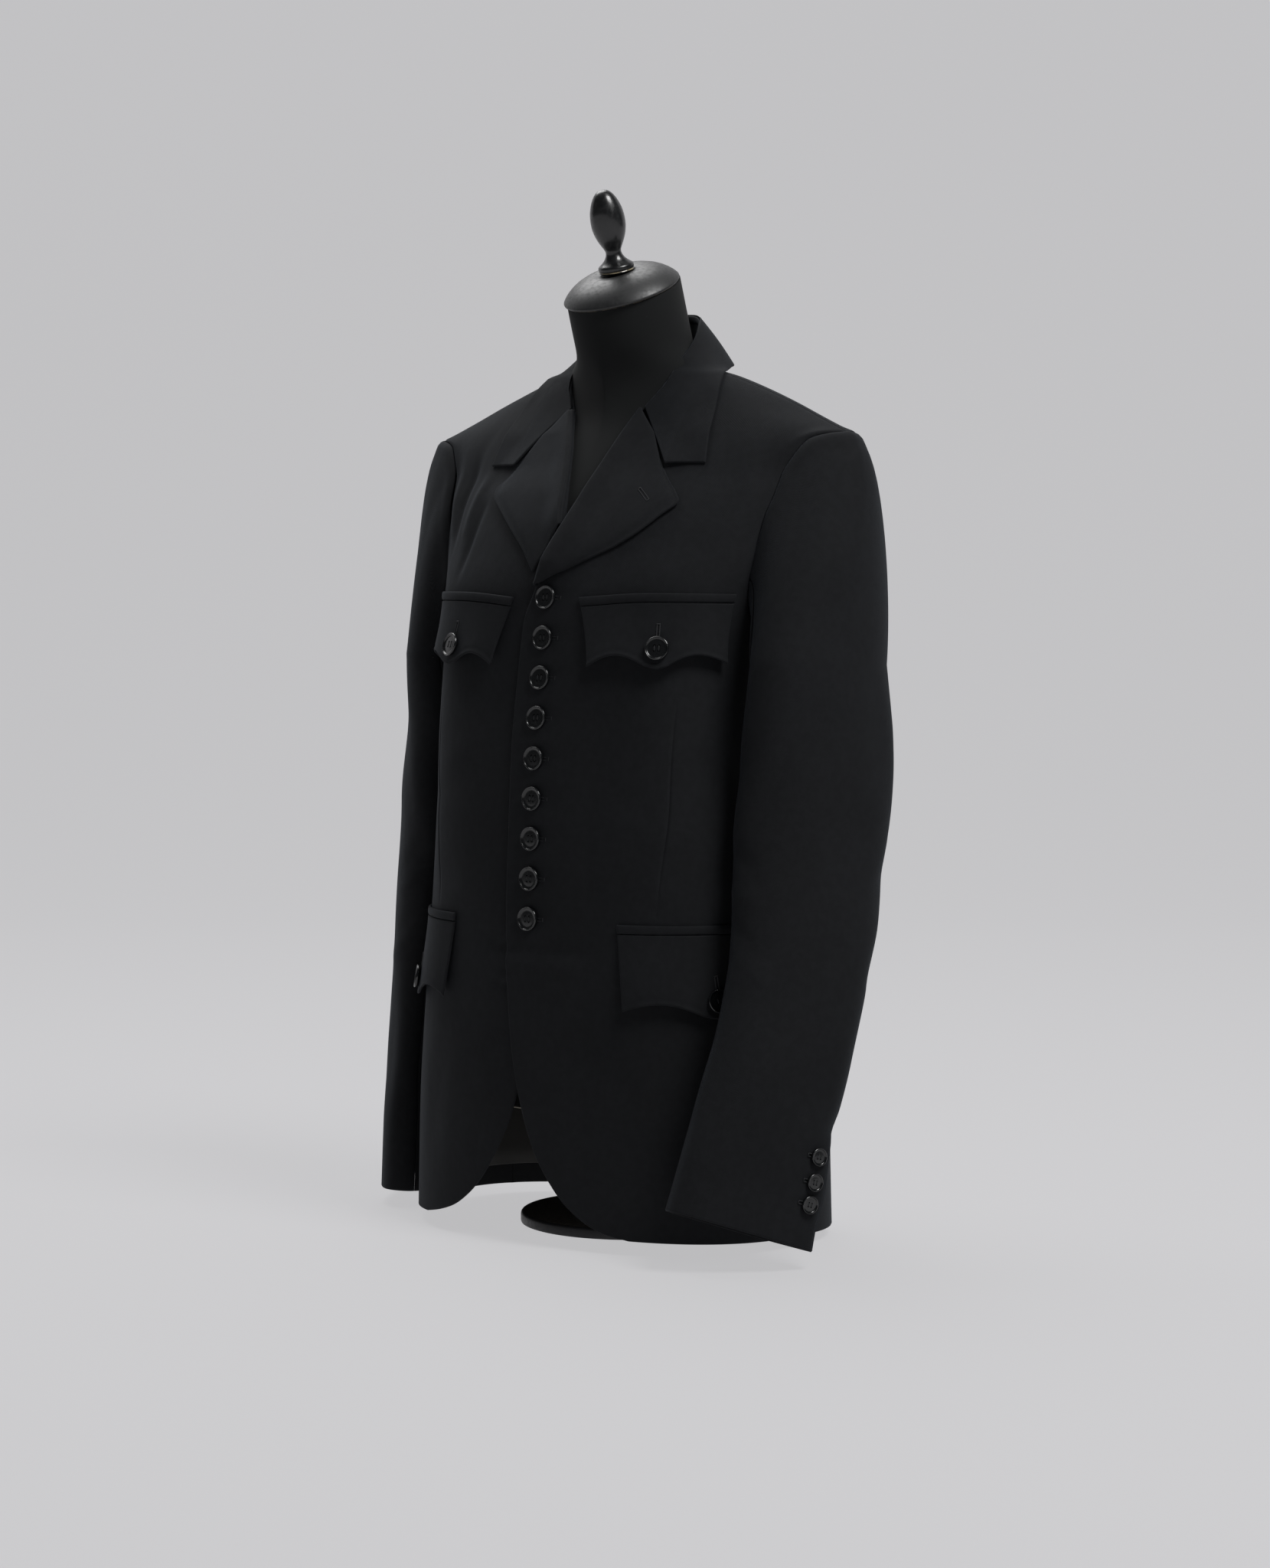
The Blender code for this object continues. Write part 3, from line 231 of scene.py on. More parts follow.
# Soft folds of the cloth: the angle and height of each end, half width of the fold, and how far it
# sinks (negative) or stands (positive). Angles are positive on the wearer's left side.
BODY_FOLDS = (
    (-38, 664, -40, 606, 4.5, 2.2),
    (-33.5, 640, -36, 574, 3.6, -2.4),
    (-45, 690, -49, 600, 3.8, -2.6),
    (-52, 684, -54, 604, 5, 2.4),
    (-59, 672, -58, 596, 5, -1.6),
    (-66, 640, -64, 575, 6, 1.5),
    (47, 690, 52, 640, 7, 1.2),
    (56, 672, 60, 596, 8, -1.1),
    (65, 640, 66, 560, 8, 1.2),
    (-10, 271, 15, 268, 5, -1.9),
    (-9, 259, 12, 257, 5, 1.6),
    (-8, 252, 5, 251, 1.8, -1.2),
    (-8, 246, 6, 246, 2.6, 1.2),
    (-8, 237.5, 4, 239, 1.8, -1.1),
    (-15, 434, -42, 415, 9, 1),
    (-20, 396, -52, 388, 8, -1.1),
    (14, 402, 40, 378, 9, -0.9),
    (22, 430, 52, 444, 9, 0.9),
    (24, 330, 48, 310, 11, 1),
    (-22, 330, -50, 305, 11, -1),
    (72, 470, 84, 380, 9, -1.2),
    (80, 440, 92, 300, 10, 1.2),
    (98, 420, 112, 290, 10, -1.2),
    (-74, 480, -88, 370, 9, -1.3),
    (-84, 430, -95, 280, 10, 1.2),
    (-104, 410, -115, 270, 11, -1.1),
    (66, 240, 70, 90, 12, 1.5),
    (84, 220, 88, 70, 12, -1.4),
    (-62, 250, -66, 80, 12, 1.4),
    (-82, 230, -86, 64, 13, -1.5),
    (122, 300, 126, 80, 14, 1.6),
    (142, 260, 147, 70, 13, -1.4),
    (-126, 310, -131, 84, 14, 1.5),
    (-146, 250, -150, 66, 13, -1.5),
    (128, 640, 150, 560, 10, 1.2),
    (118, 610, 132, 520, 10, -1.3),
    (-130, 645, -152, 556, 10, 1.2),
    (-119, 616, -134, 512, 10, -1.2),
    (150, 420, 176, 404, 8, -1),
    (140, 452, 170, 440, 8, 0.9),
    (-150, 410, -175, 418, 8, -1),
    (-140, 380, -168, 392, 9, 0.9),
    (-28, 196, -34, 84, 12, -1.1),
    (30, 190, 38, 72, 12, 1.1),
)
# The dart of each front: angles and heights of its line, and its share of the panel's width
DART = ((44.5, 474), (44.2, 464.5), (43, 396), (38.4, 336), (36.4, 300.5))
DART_SHARE = 0.56
# Folds of the sleeves: place round the sleeve and height of each end, half width and rise
SLEEVE_FOLDS = (
    (4.5, 440, 7.5, 372, 7, -1.6),
    (3.2, 418, 6.4, 340, 7, 1.5),
    (6, 352, 3.4, 330, 5, -1.7),
    (6.2, 318, 2.6, 302, 5.5, 1.5),
    (5.8, 296, 3, 268, 5, -1.5),
    (4.6, 262, 1.8, 236, 6.5, 1.2),
    (2.4, 500, 3.6, 396, 9, 1.2),
    (20.4, 500, 19.2, 410, 9, -1.3),
    (18.2, 470, 16.8, 372, 8, 1.3),
    (15.6, 366, 18.8, 322, 7, -1.5),
    (15.2, 330, 18.4, 280, 7, 1.4),
    (14.6, 286, 17.6, 254, 6, -1.3),
    (10, 480, 9.4, 380, 9, -1.4),
    (12.4, 470, 12, 360, 9, 1.3),
    (9.2, 340, 12.6, 300, 8, -1.4),
    (0.6, 240, 1.2, 130, 9, 1.3),
    (3.2, 214, 3.4, 96, 8, -1.3),
    (5.4, 190, 5, 84, 7, 1.1),
    (19.8, 230, 20.4, 110, 9, -1.2),
    (13, 220, 13.6, 100, 9, 1.3),
)


# Turned profiles: radius and height, for the button and the cap as shares of their radius
BUTTON_PROFILE = ((0.7, 0), (0.84, 0.03), (0.93, 0.12), (0.98, 0.28), (1, 0.5), (0.998, 0.7), (0.985, 0.86),
                  (0.96, 0.96), (0.93, 1), (0.9, 0.98), (0.875, 0.9), (0.85, 0.79), (0.81, 0.69),
                  (0.75, 0.635), (0.68, 0.615), (0.58, 0.63), (0.45, 0.65), (0.25, 0.66))
CAP_PROFILE = ((0.955, -2), (0.98, -1.7), (0.996, -0.9), (1, 0), (0.994, 0.8), (0.978, 1.9), (0.945, 3.9),
               (0.895, 6.3), (0.82, 9.2), (0.73, 11.9), (0.62, 14.2), (0.5, 15.8), (0.38, 16.5), (0.3, 15.6),
               (0.24, 15))
FINIAL_FOOT = ((8.2, 0), (7.6, 0.6), (7.4, 1.4), (14, 1.7), (14.7, 2), (14.9, 2.6), (14.5, 3.2), (14.3, 3.5),
               (14.9, 3.9), (15.1, 4.9), (15.1, 6.4), (14.8, 7.2), (14.1, 7.9))
FINIAL_BULB = ((12.1, 9.4), (9.8, 11.5), (7.9, 14), (6.8, 16.6), (6.5, 18.4), (6.8, 20), (7.7, 22),
               (9.4, 25.2), (11.8, 30.2), (13.5, 35.4), (14.4, 40.4), (14.6, 45), (14, 51.8),
               (12.3, 58.2), (9.4, 64.6), (6.2, 68.6), (3.3, 70.4), (1, 70.8))


class Side(Enum):
    """The wearer's left or right side."""

    LEFT = 1
    RIGHT = -1

    @property
    def label(self) -> str:
        """The side's word in the names of pieces."""
        return "left" if self is Side.LEFT else "right"


class Pocket(Enum):
    """The two rows of pockets."""

    CHEST = "chest"
    HIP = "hip"


def slopes(xs: Array, ys: Array) -> Array:
    """Slopes of a smooth curve through the points that never swings past them.

    Args:
        xs: Rising places.
        ys: Values at the places.

    Returns:
        The slope at each place.
    """
    steps = np.diff(ys) / np.diff(xs)
    a, b = steps[:-1], steps[1:]
    total = np.where(np.abs(a + b) < 1e-12, 1.0, a + b)
    inner = np.where(a * b <= 0, 0.0, 2 * a * b / total)
    return np.concatenate([[steps[0]], inner, [steps[-1]]])


def curve(xs: Sequence[float], ys: Sequence[float], x: Array) -> Array:
    """Values of the smooth curve through the points.

    Args:
        xs: Places, rising or falling.
        ys: Values at the places.
        x: Where the curve is read.

    Returns:
        The curve's values, held at its ends.
    """
    px, py = np.asarray(xs, float), np.asarray(ys, float)
    if px[0] > px[-1]:
        px, py = px[::-1], py[::-1]
    x = np.clip(np.asarray(x, float), px[0], px[-1])
    i = np.clip(np.searchsorted(px[1:-1], x, side="right"), 0, len(px) - 2)
    width = px[i + 1] - px[i]
    t = (x - px[i]) / width
    tilt = slopes(px, py)
    return ((1 + 2 * t) * (1 - t) ** 2 * py[i] + t * (1 - t) ** 2 * width * tilt[i]
            + t * t * (3 - 2 * t) * py[i + 1] + t * t * (t - 1) * width * tilt[i + 1])


def columns(table: Table, names: Sequence[str]) -> Dict[str, List[float]]:
    """A table's columns by name."""
    return {name: [row[i] for row in table] for i, name in enumerate(names)}


def along_rows(table: Table, names: Sequence[str], t: Array) -> Dict[str, Array]:
    """A table's smooth columns at shares of its length.

    Args:
        table: Rows from one end to the other.
        names: The columns' names.
        t: Shares from 0, the first row, to 1, the last.

    Returns:
        Each column's values.
    """
    places = np.linspace(0, 1, len(table))
    return {name: curve(places, values, t) for name, values in columns(table, names).items()}


def ease(t: Array) -> Array:
    """A soft step from 0 to 1."""
    t = np.clip(t, 0.0, 1.0)
    return t * t * (3 - 2 * t)


def bell(distance: Array, spread: float) -> Array:
    """A soft hump, 1 at no distance and 0 well past the spread."""
    return np.exp(-0.5 * (distance / spread) ** 2)


def across_way(v: Array, way: Array) -> Array:
    """The part of vectors that lies square to a way of length one."""
    return v - way * np.sum(v * way, axis=-1, keepdims=True)


def unit(v: Array) -> Array:
    """Vectors scaled to a length of one."""
    return v / np.maximum(np.linalg.norm(v, axis=-1, keepdims=True), 1e-12)


BODY = columns(BODY_RINGS, RING_COLUMNS)
RIDGES = columns(RIDGE, RIDGE_COLUMNS)


def ring_sizes(rings: Dict[str, List[float]], height: Array) -> Dict[str, Array]:
    """The sizes of a form's rings at these heights."""
    return {name: curve(rings["height"], rings[name], height) for name in RING_COLUMNS[1:]}


def body_ring(height: Array) -> Dict[str, Array]:
    """The garment's rings at these heights, as wide as the shoulder's ridge above its tip."""
    ring = ring_sizes(BODY, height)
    ridge = curve(RIDGES["height"], RIDGES["half_width"], height)
    ring["half_width"] = np.where(height > SHOULDER_TIP, ridge, ring["half_width"])
    return ring


def ring_place(ring: Dict[str, Array], turn: Array, inset: float = 0.0) -> Places:
    """Places on rings, at these turns from the centre front.

    Args:
        ring: The rings' sizes.
        turn: Turns in radians.
        inset: How far inside the ring the places lie.

    Returns:
        Distances to the left of the rings' centres, and distances behind them.
    """
    front = np.cos(turn) >= 0
    power = 2 / np.where(front, ring["front_power"], ring["back_power"])
    depth = np.where(front, ring["front"] - ring["centre"] + inset, ring["back"] - ring["centre"] - inset)
    return (ring["half_width"] - inset) * powered(np.sin(turn), power), depth * np.abs(np.cos(turn)) ** power


def body_surface(angle: Array, height: Array) -> Array:
    """Points of the garment's outside form.

    Args:
        angle: Degrees from the centre front, 180 at the centre back.
        height: Heights in the tables' scale.

    Returns:
        Points in metres, in the tables' scale.
    """
    angle, height = np.broadcast_arrays(np.asarray(angle, float), np.asarray(height, float))
    ring = body_ring(height)
    side, behind = ring_place(ring, np.radians(angle))
    return np.stack([side, ring["centre"] + behind, height], -1) * MM


def body_place(angle: Array, height: Array) -> Places:
    """Points of the garment's form and the directions out of it.

    Args:
        angle: Degrees from the centre front.
        height: Heights in the tables' scale.

    Returns:
        The points and the outward directions.
    """
    step = 0.4
    here = body_surface(angle, height)
    around = body_surface(np.asarray(angle) + step, height) - body_surface(np.asarray(angle) - step, height)
    up = body_surface(angle, np.asarray(height) + step) - body_surface(angle, np.asarray(height) - step)
    return here, unit(np.cross(around, up))


def angle_at(out: Array, height: Array) -> Array:
    """The angle at which the front lies this far out from the centre line.

    Args:
        out: Distances from the centre line, negative on the far side.
        height: Heights in the tables' scale.

    Returns:
        Angles in degrees.
    """
    out, height = np.broadcast_arrays(np.asarray(out, float), np.asarray(height, float))
    ring = body_ring(height)
    share = np.minimum(np.abs(out) / ring["half_width"], 1.0)
    return np.sign(out) * np.degrees(np.arcsin(share ** (ring["front_power"] / 2)))


def underarm(share: Array) -> Places:
    """Angles and heights of the armhole's lower edge, at shares from the front to the back."""
    angles, heights = zip(*UNDERARM)
    spots = np.linspace(0, 1, len(UNDERARM))
    return curve(spots, angles, share), curve(spots, heights, share)


def powered(v: Array, power: Array) -> Array:
    """Values raised to a power, with their signs kept."""
    return np.sign(v) * np.abs(v) ** power


def mirrored(v: Array, side: Side) -> Array:
    """Vectors of the left side, or their mirror images."""
    return v * np.array([side.value, 1.0, 1.0])


@dataclass
class Drape:
    """The soft folds of a cloth, the same for a panel and for all that lies on it.

    Args:
        lines: Each fold's line, half width and rise, in metres.
        buttons: Places of the front buttons, where the cloth is drawn in.
        dimple: How deep it is drawn in at a button.
        dimple_reach: How wide that dimple is.
        crease: How deep the crease beside a button is.
        crease_reach: How wide that crease is.
    """

    lines: List[Tuple[Array, float, float]]
    buttons: List[Array] = field(default_factory=list)
    dimple: float = 2.0 * MM
    dimple_reach: float = 8.5 * MM
    crease: float = 0.45 * MM
    crease_reach: float = 3.2 * MM

    @staticmethod
    def on(surface: Callable[[Array, Array], Array], strokes: Table) -> "Drape":
        """The folds of a table, laid on a surface.

        Args:
            surface: Gives points for the table's two coordinates.
            strokes: Rows of two coordinates at each end, half width and rise.

        Returns:
            The drape.
        """
        made = []
        for a, low, b, high, spread, rise in strokes:
            t = np.linspace(0, 1, 9)
            bow = 0.06 * np.sin(math.pi * t) * (1 if (a + low) % 2 < 1 else -1)
            made.append((surface(a + (b - a) * (t + bow), low + (high - low) * t), spread * MM, rise * MM))
        return Drape(made)

    def rise(self, points: Array) -> Array:
        """How far the folds move the cloth out at these points.

        Args:
            points: Any array of points, in metres.

        Returns:
            Moves along the outward direction, in metres.
        """
        flat = points.reshape(-1, 3)
        total = np.zeros(len(flat))
        for line, spread, rise in self.lines:
            reach = 3.5 * spread
            near = np.all((flat > line.min(0) - reach) & (flat < line.max(0) + reach), axis=1)
            if not near.any():
                continue
            place = flat[near]
            best = np.full(len(place), 1e9)
            share = np.zeros(len(place))
            for i in range(len(line) - 1):
                step = line[i + 1] - line[i]
                t = np.clip((place - line[i]) @ step / (step @ step), 0, 1)
                gap = np.linalg.norm(place - line[i] - t[:, None] * step, axis=1)
                closer = gap < best
                best[closer] = gap[closer]
                share[closer] = ((i + t) / (len(line) - 1))[closer]
            total[near] += rise * bell(best, spread) * np.sin(math.pi * np.clip(share, 0.02, 0.98)) ** 0.6
        for place in self.buttons:
            total -= self.button_pull(flat - place)
        return total.reshape(points.shape[:-1])

    def button_pull(self, gap: Array) -> Array:
        """How far a button draws the cloth in round it, and along a crease towards the side."""
        x, y, z = gap.T
        dimple = self.dimple * bell(np.sqrt((x / 1.5) ** 2 + y ** 2 + z ** 2), self.dimple_reach)
        length = ease((x - 8 * MM) / (10 * MM)) * ease((46 * MM - x) / (36 * MM)) * (np.abs(y) < 60 * MM)
        return dimple + self.crease * bell(z - 0.06 * x, self.crease_reach) * length


def spaced(length: float, step: float, dense: Sequence[Triple] = ()) -> Array:
    """Shares from 0 to 1 along a length, close together at both ends.

    Args:
        length: The length in millimetres.
        step: The usual step in millimetres.
        dense: Stretches with a finer step: centre's share, half width and step in millimetres.

    Returns:
        Rising shares.
    """
    edge = [0.0, 0.3, 0.7, 1.2, 1.9, 3.0]
    count = max(2, int(round((length - 6.0) / step)))
    places = edge + list(np.linspace(3.0, length - 3.0, count + 1)[1:-1]) + [length - e for e in edge[::-1]]
    for share, half, fine in dense:
        middle = share * length
        places = [p for p in places if abs(p - middle) > half or p in (0.0, length)]
        places += list(np.arange(middle - half, middle + half + 0.5 * fine, fine))
    return np.unique(np.round(np.clip(places, 0, length), 4)) / length


def even(line: Callable[[Array], Array], shares: Array) -> Array:
    """Places on a line whose distances along it follow the shares.

    Args:
        line: Gives points for places from 0 to 1, with any number of strands side by side.
        shares: Wanted shares of the length.

    Returns:
        Places from 0 to 1.
    """
    t = np.linspace(0, 1, 600)
    points = line(t)
    if points.ndim == 2:
        points = points[:, None]
    steps = np.linalg.norm(np.diff(points, axis=0), axis=-1).mean(axis=-1)
    gone = np.concatenate([[0], np.cumsum(steps)])
    return np.interp(shares, gone / gone[-1], t)


def grid_lengths(mid: Array) -> Places:
    """Distances of a grid's points from its first row and from its first column."""
    down = np.linalg.norm(np.diff(mid, axis=0), axis=-1)
    across = np.linalg.norm(np.diff(mid, axis=1), axis=-1)
    rows = np.concatenate([np.zeros((1, mid.shape[1])), np.cumsum(down, axis=0)])
    cols = np.concatenate([np.zeros((mid.shape[0], 1)), np.cumsum(across, axis=1)], axis=1)
    return rows, cols


def link(name: str, data: bpy.types.ID) -> Thing:
    """Adds an object with this data to the scene."""
    thing = bpy.data.objects.new(name, data)
    bpy.context.scene.collection.objects.link(thing)
    return thing


def built(name: str, points: Sequence, faces: Sequence, finish: Material) -> Thing:
    """Builds a smooth mesh.

    Args:
        name: The object's name.
        points: Its points in metres.
        faces: The numbers of each face's points.
        finish: The material.

    Returns:
        The object.
    """
    mesh = bpy.data.meshes.new(name)
    mesh.from_pydata(points, [], faces)
    mesh.materials.append(finish)
    mesh.shade_smooth()
    LOG.info("%s: %d faces", name, len(faces))
    return link(name, mesh)


def lay_map(mesh: Mesh, name: str, flat: Array) -> None:
    """Lays a map on a mesh: for each point its place on the flat, in metres."""
    loops = np.zeros(len(mesh.loops), np.int32)
    mesh.loops.foreach_get("vertex_index", loops)
    layer = mesh.uv_layers.get(name) or mesh.uv_layers.new(name=name)
    layer.data.foreach_set("uv", flat[loops].astype(np.float32).ravel())


def above_floor(point: Array) -> Vector:
    """A place in the tables' scale, in metres, as a place in the part's frame."""
    return Vector(point) - Vector((0, 0, FLOOR_LINE * MM))


def normals(mid: Array, hint: Array) -> Array:
    """Directions across a grid of points, on the hint's side."""
    down = np.gradient(mid, axis=0)
    across = np.gradient(mid, axis=1)
    out = unit(np.cross(across, down))
    flip = np.sign(np.sum(out * hint, axis=-1, keepdims=True))
    return out * np.where(flip == 0, 1, flip)


@dataclass
class Cloth:
    """A wall of cloth with turned, rounded edges.

    Args:
        name: The piece's name, which is its solid's.
        mid: Rows and columns of points on the wall's middle.
        hint: Rough outward directions, or one direction for all.
        thickness: The wall's thickness in metres.
        seams: Edges that are sewn to a neighbour and sink a little: low, high, first or last.
        sink: How deep a sewn edge sinks, in metres.
        seam_width: How far from its edge it sinks.
        edge_share: How far from an edge the wall is rounded, as a share of its thickness.
        edge_least: The square of the share of the thickness that is left at the edge.
    """

    name: str
    mid: Array
    hint: Array
    thickness: float
    seams: Tuple[str, ...] = ()
    sink: float = 0.5 * MM
    seam_width: float = 1.5 * MM
    edge_share: float = 0.55
    edge_least: float = 0.05

    def make(self, finish: Material, inner: Optional[Material] = None, slot: str = "wool_twill") -> None:
        """Builds the wall's mesh and fixes it to the part.

        Args:
            finish: The material of the outside.
            inner: The material of the inside, where it differs.
            slot: The material slot that it would belong to; handed to wear, which doesn't use it.
        """
        mid = self.mid
        hint = np.broadcast_to(self.hint, mid.shape)
        rows, cols = grid_lengths(mid)
        ends = {"low": rows, "high": rows[-1:] - rows, "first": cols, "last": cols[:, -1:] - cols}
        out = normals(mid, hint)
        for edge in self.seams:
            mid = mid - out * (self.sink * bell(ends[edge], self.seam_width))[..., None]
        out = normals(mid, hint)
        near = np.minimum.reduce(list(ends.values())) / (self.thickness * self.edge_share)
        round_off = np.sqrt(np.maximum(self.edge_least, 1 - (1 - np.minimum(near, 1)) ** 2))
        half = (self.thickness / 2 * round_off)[..., None]
        outer, under = mid + out * half, mid - out * half
        count = mid.shape[0] * mid.shape[1]
        index = np.arange(count).reshape(mid.shape[:2])
        a, b = index[:-1, :-1].ravel(), index[:-1, 1:].ravel()
        c, d = index[1:, 1:].ravel(), index[1:, :-1].ravel()
        quads = np.stack([a, b, c, d], 1)
        rim = np.concatenate([index[0, :], index[1:, -1], index[-1, -2::-1], index[-2:0:-1, 0]])
        following = np.roll(rim, -1)
        side = np.stack([following, rim, rim + count, following + count], 1)
        corner = quads[len(quads) // 2]
        centre = mid.reshape(-1, 3)[corner]
        if np.cross(centre[1] - centre[0], centre[3] - centre[0]) @ out.reshape(-1, 3)[corner[0]] < 0:
            quads, side = quads[:, ::-1], side[:, ::-1]
        faces = np.concatenate([quads, quads[:, ::-1] + count, side])
        points = np.concatenate([outer.reshape(-1, 3), under.reshape(-1, 3)])
        points[:, 2] -= FLOOR_LINE * MM
        thing = built(self.name + "_cloth", points.tolist(), faces.tolist(), finish)
        if inner is not None:
            thing.data.materials.append(inner)
            slots = np.repeat([0, 1, 0], [len(quads), len(quads), len(side)]).astype(np.int32)
            thing.data.polygons.foreach_set("material_index", slots)
        flat = np.stack([cols.ravel(), rows.ravel()], 1)
        lay_map(thing.data, "cloth", np.concatenate([flat, flat]))
        wear(thing, slot, self.name)


def wear(thing: Thing, slot: str, *nodes: str) -> None:
    """Fixes a finished piece to the part.

    Args:
        thing: The piece.
        slot: The material slot that its finish would belong to; not used.
        nodes: The solids that it stands for.
    """
    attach(thing, "root")
    if nodes:
        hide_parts(*nodes)


@dataclass
class BodyCloth:
    """The fronts, sides and backs of the blazer.

    Args:
        drape: The folds of the cloth.
        wall: The cloth's thickness.
        overlap: How far the left front stands off over the right one.
        overlap_out: How far out from the centre line it does so, in millimetres.
        overlap_top: The height above which it doesn't.
        seam_gap: Half the gap at the upright seams.
        shoulder_reach: How far below the shoulder seam the panels are drawn to it.
        dart_slack: The most that the net's columns bend to follow the dart, as a share of the width.
        side_rows: How many rows of the tables the side panel reaches up.
    """

    drape: Drape
    wall: float = BODY_WALL
    overlap: float = 3.0 * MM
    overlap_out: float = 62.0
    overlap_top: float = 640.0
    seam_gap: float = 0.03 * MM
    shoulder_reach: float = 45.0 * MM
    dart_slack: float = 0.06
    side_rows: int = 14

    def overlap_lift(self, points: Array, side: Side) -> Array:
        """How far the left front stands off at these points, in metres."""
        if side is Side.RIGHT:
            return np.zeros(points.shape[:-1])
        out, height = points[..., 0] / MM, points[..., 2] / MM
        return self.overlap * ease((self.overlap_out - out) / 30.0) * ease((self.overlap_top - height) / 45.0)

    def settle(self, points: Array, out: Array, side: Side) -> Places:
        """Moves points of the plain form out to the draped cloth of one side.

        Args:
            points: Points of the left side's plain form.
            out: Outward directions there.
            side: The side to build.

        Returns:
            The points and directions of that side.
        """
        raised = points + out * self.overlap_lift(points, side)[..., None]
        place, out = mirrored(raised, side), mirrored(out, side)
        return place + out * self.drape.rise(place)[..., None], out

    def front_at(self, t: Array, u: Array, side: Side) -> Places:
        """Plain points of the left front, or of the right front before it is mirrored."""
        rows = along_rows(FRONT_ROWS, FRONT_COLUMNS, t)
        edge = rows["left_inner"] if side is Side.LEFT else rows["right_inner"]
        low = rows["inner_height"][:, None]
        start = angle_at(edge[:, None], low)
        angle = start + (rows["outer_angle"][:, None] - start) * u
        return body_place(angle, low + (rows["outer_height"][:, None] - low) * u)

    def side_at(self, t: Array, u: Array) -> Places:
        """Plain points of the panel under the arm."""
        last = self.side_rows - 1
        front = along_rows(FRONT_ROWS, FRONT_COLUMNS, t * last / (len(FRONT_ROWS) - 1))
        back = along_rows(BACK_ROWS, BACK_COLUMNS, t * last / (len(BACK_ROWS) - 1))
        a, b = front["outer_angle"][:, None], back["outer_angle"][:, None]
        low, high = front["outer_height"][:, None], back["outer_height"][:, None]
        top_angle, top_height = underarm(u)
        (start_angle, start_height), (end_angle, end_height) = UNDERARM[0], UNDERARM[-1]
        near = np.clip(t * last - (last - 1), 0, 1)[:, None]
        angle = a + (b - a) * u + near * (top_angle - start_angle - (end_angle - start_angle) * u)
        height = low + (high - low) * u + near * (top_height - start_height - (end_height - start_height) * u)
        return body_place(angle, height)

    def back_at(self, t: Array, u: Array) -> Places:
        """Plain points of the left back."""
        rows = along_rows(BACK_ROWS, BACK_COLUMNS, t)
        a, b = rows["inner_angle"][:, None], rows["outer_angle"][:, None]
        low, high = rows["inner_height"][:, None], rows["outer_height"][:, None]
        return body_place(a + (b - a) * u, low + (high - low) * u)

    def panel(self, name: str, at: Callable[[Array, Array], Places], side: Side, net: Places,
              seams: Tuple[str, ...], finish: Material, inner: Material) -> None:
        """Builds one panel.

        Args:
            name: The piece's name, which is also its solid's.
            at: Gives plain points for places up and across the panel.
            side: The side of the body.
            net: Shares up and across the panel.
            seams: The panel's sewn edges.
            finish: The cloth.
            inner: The cloth's inside.
        """
        rise, across = net
        t = even(lambda s: at(s, np.array([[0.0, 0.5, 1.0]]))[0], rise)
        share = self.bend(across, t, name)
        place, out = self.settle(*at(t, share), side)
        if not name.startswith("side"):
            place = self.soften(self.meet(place, share[-1:], side))
        for edge, (first, second) in {"first": (0, 1), "last": (-1, -2)}.items():
            if edge in seams:
                place[:, first] += unit(place[:, second] - place[:, first]) * self.seam_gap
        Cloth(name, place, out, self.wall, seams).make(finish, inner)

    def bend(self, across: Array, t: Array, name: str) -> Array:
        """Shares across a panel for each of its rows, bent so that a column follows the dart."""
        across = np.broadcast_to(across[None, :], (len(t), len(across)))
        if not name.startswith("front"):
            return across
        rows = along_rows(FRONT_ROWS, FRONT_COLUMNS, t)
        edge = rows["left_inner"] if name.endswith("left") else rows["right_inner"]
        start = angle_at(edge, rows["inner_height"])
        dart = curve([height for _, height in DART], [angle for angle, _ in DART], rows["inner_height"])
        want = (dart - start) / (rows["outer_angle"] - start)
        want = np.clip(want, DART_SHARE - self.dart_slack, DART_SHARE + self.dart_slack)
        near = np.where(across < DART_SHARE, across / DART_SHARE, (1 - across) / (1 - DART_SHARE))
        return across + (want - DART_SHARE)[:, None] * ease(near)

    def meet(self, place: Array, share: Array, side: Side) -> Array:
        """Draws the top row of a front or back to their common seam on the shoulder."""
        top = np.array([1.0])
        front, _ = self.settle(*self.front_at(top, share, side), side)
        back, _ = self.settle(*self.back_at(top, share), side)
        rows, _ = grid_lengths(place)
        near = ease(1 - (rows[-1:] - rows) / self.shoulder_reach)
        return place + ((front + back) / 2 - place[-1:]) * near[..., None]

    @staticmethod
    def soften(place: Array) -> Array:
        """Smooths the turn over the shoulder, away from the seams."""
        _, cols = grid_lengths(place)
        inner = np.minimum(cols, cols[:, -1:] - cols) / MM
        weight = (bell(place[..., 2] / MM - SHOULDER_TIP, 16.0) * ease((inner - 1.0) / 16.0))[..., None]
        for _ in range(SMOOTHINGS):
            mean = place.copy()
            mean[1:-1] = (place[:-2] + place[2:]) / 2
            place = place + (mean - place) * 0.5 * weight
        return place

    def build(self, finish: Material, inner: Material) -> None:
        """Builds the six panels, the front's with a finer net along the dart and under the lapel's roll."""
        front_net = spaced(735, 3.4), spaced(250, 3.4, [(DART_SHARE, 4.2, 0.7), (0.1, 16.0, 1.7)])
        side_net = spaced(490, 4.5), spaced(100, 4.5)
        back_net = spaced(740, 4.2), spaced(180, 4.2)
        for side in Side:
            front = lambda t, u, s=side: self.front_at(t, u, s)
            for part, at, net, seams in (("front", front, front_net, ("high", "last")),
                                         ("side", self.side_at, side_net, ("high", "first", "last")),
                                         ("back", self.back_at, back_net, ("high", "first", "last"))):
                self.panel("%s_%s" % (part, side.label), at, side, net, seams, finish, inner)


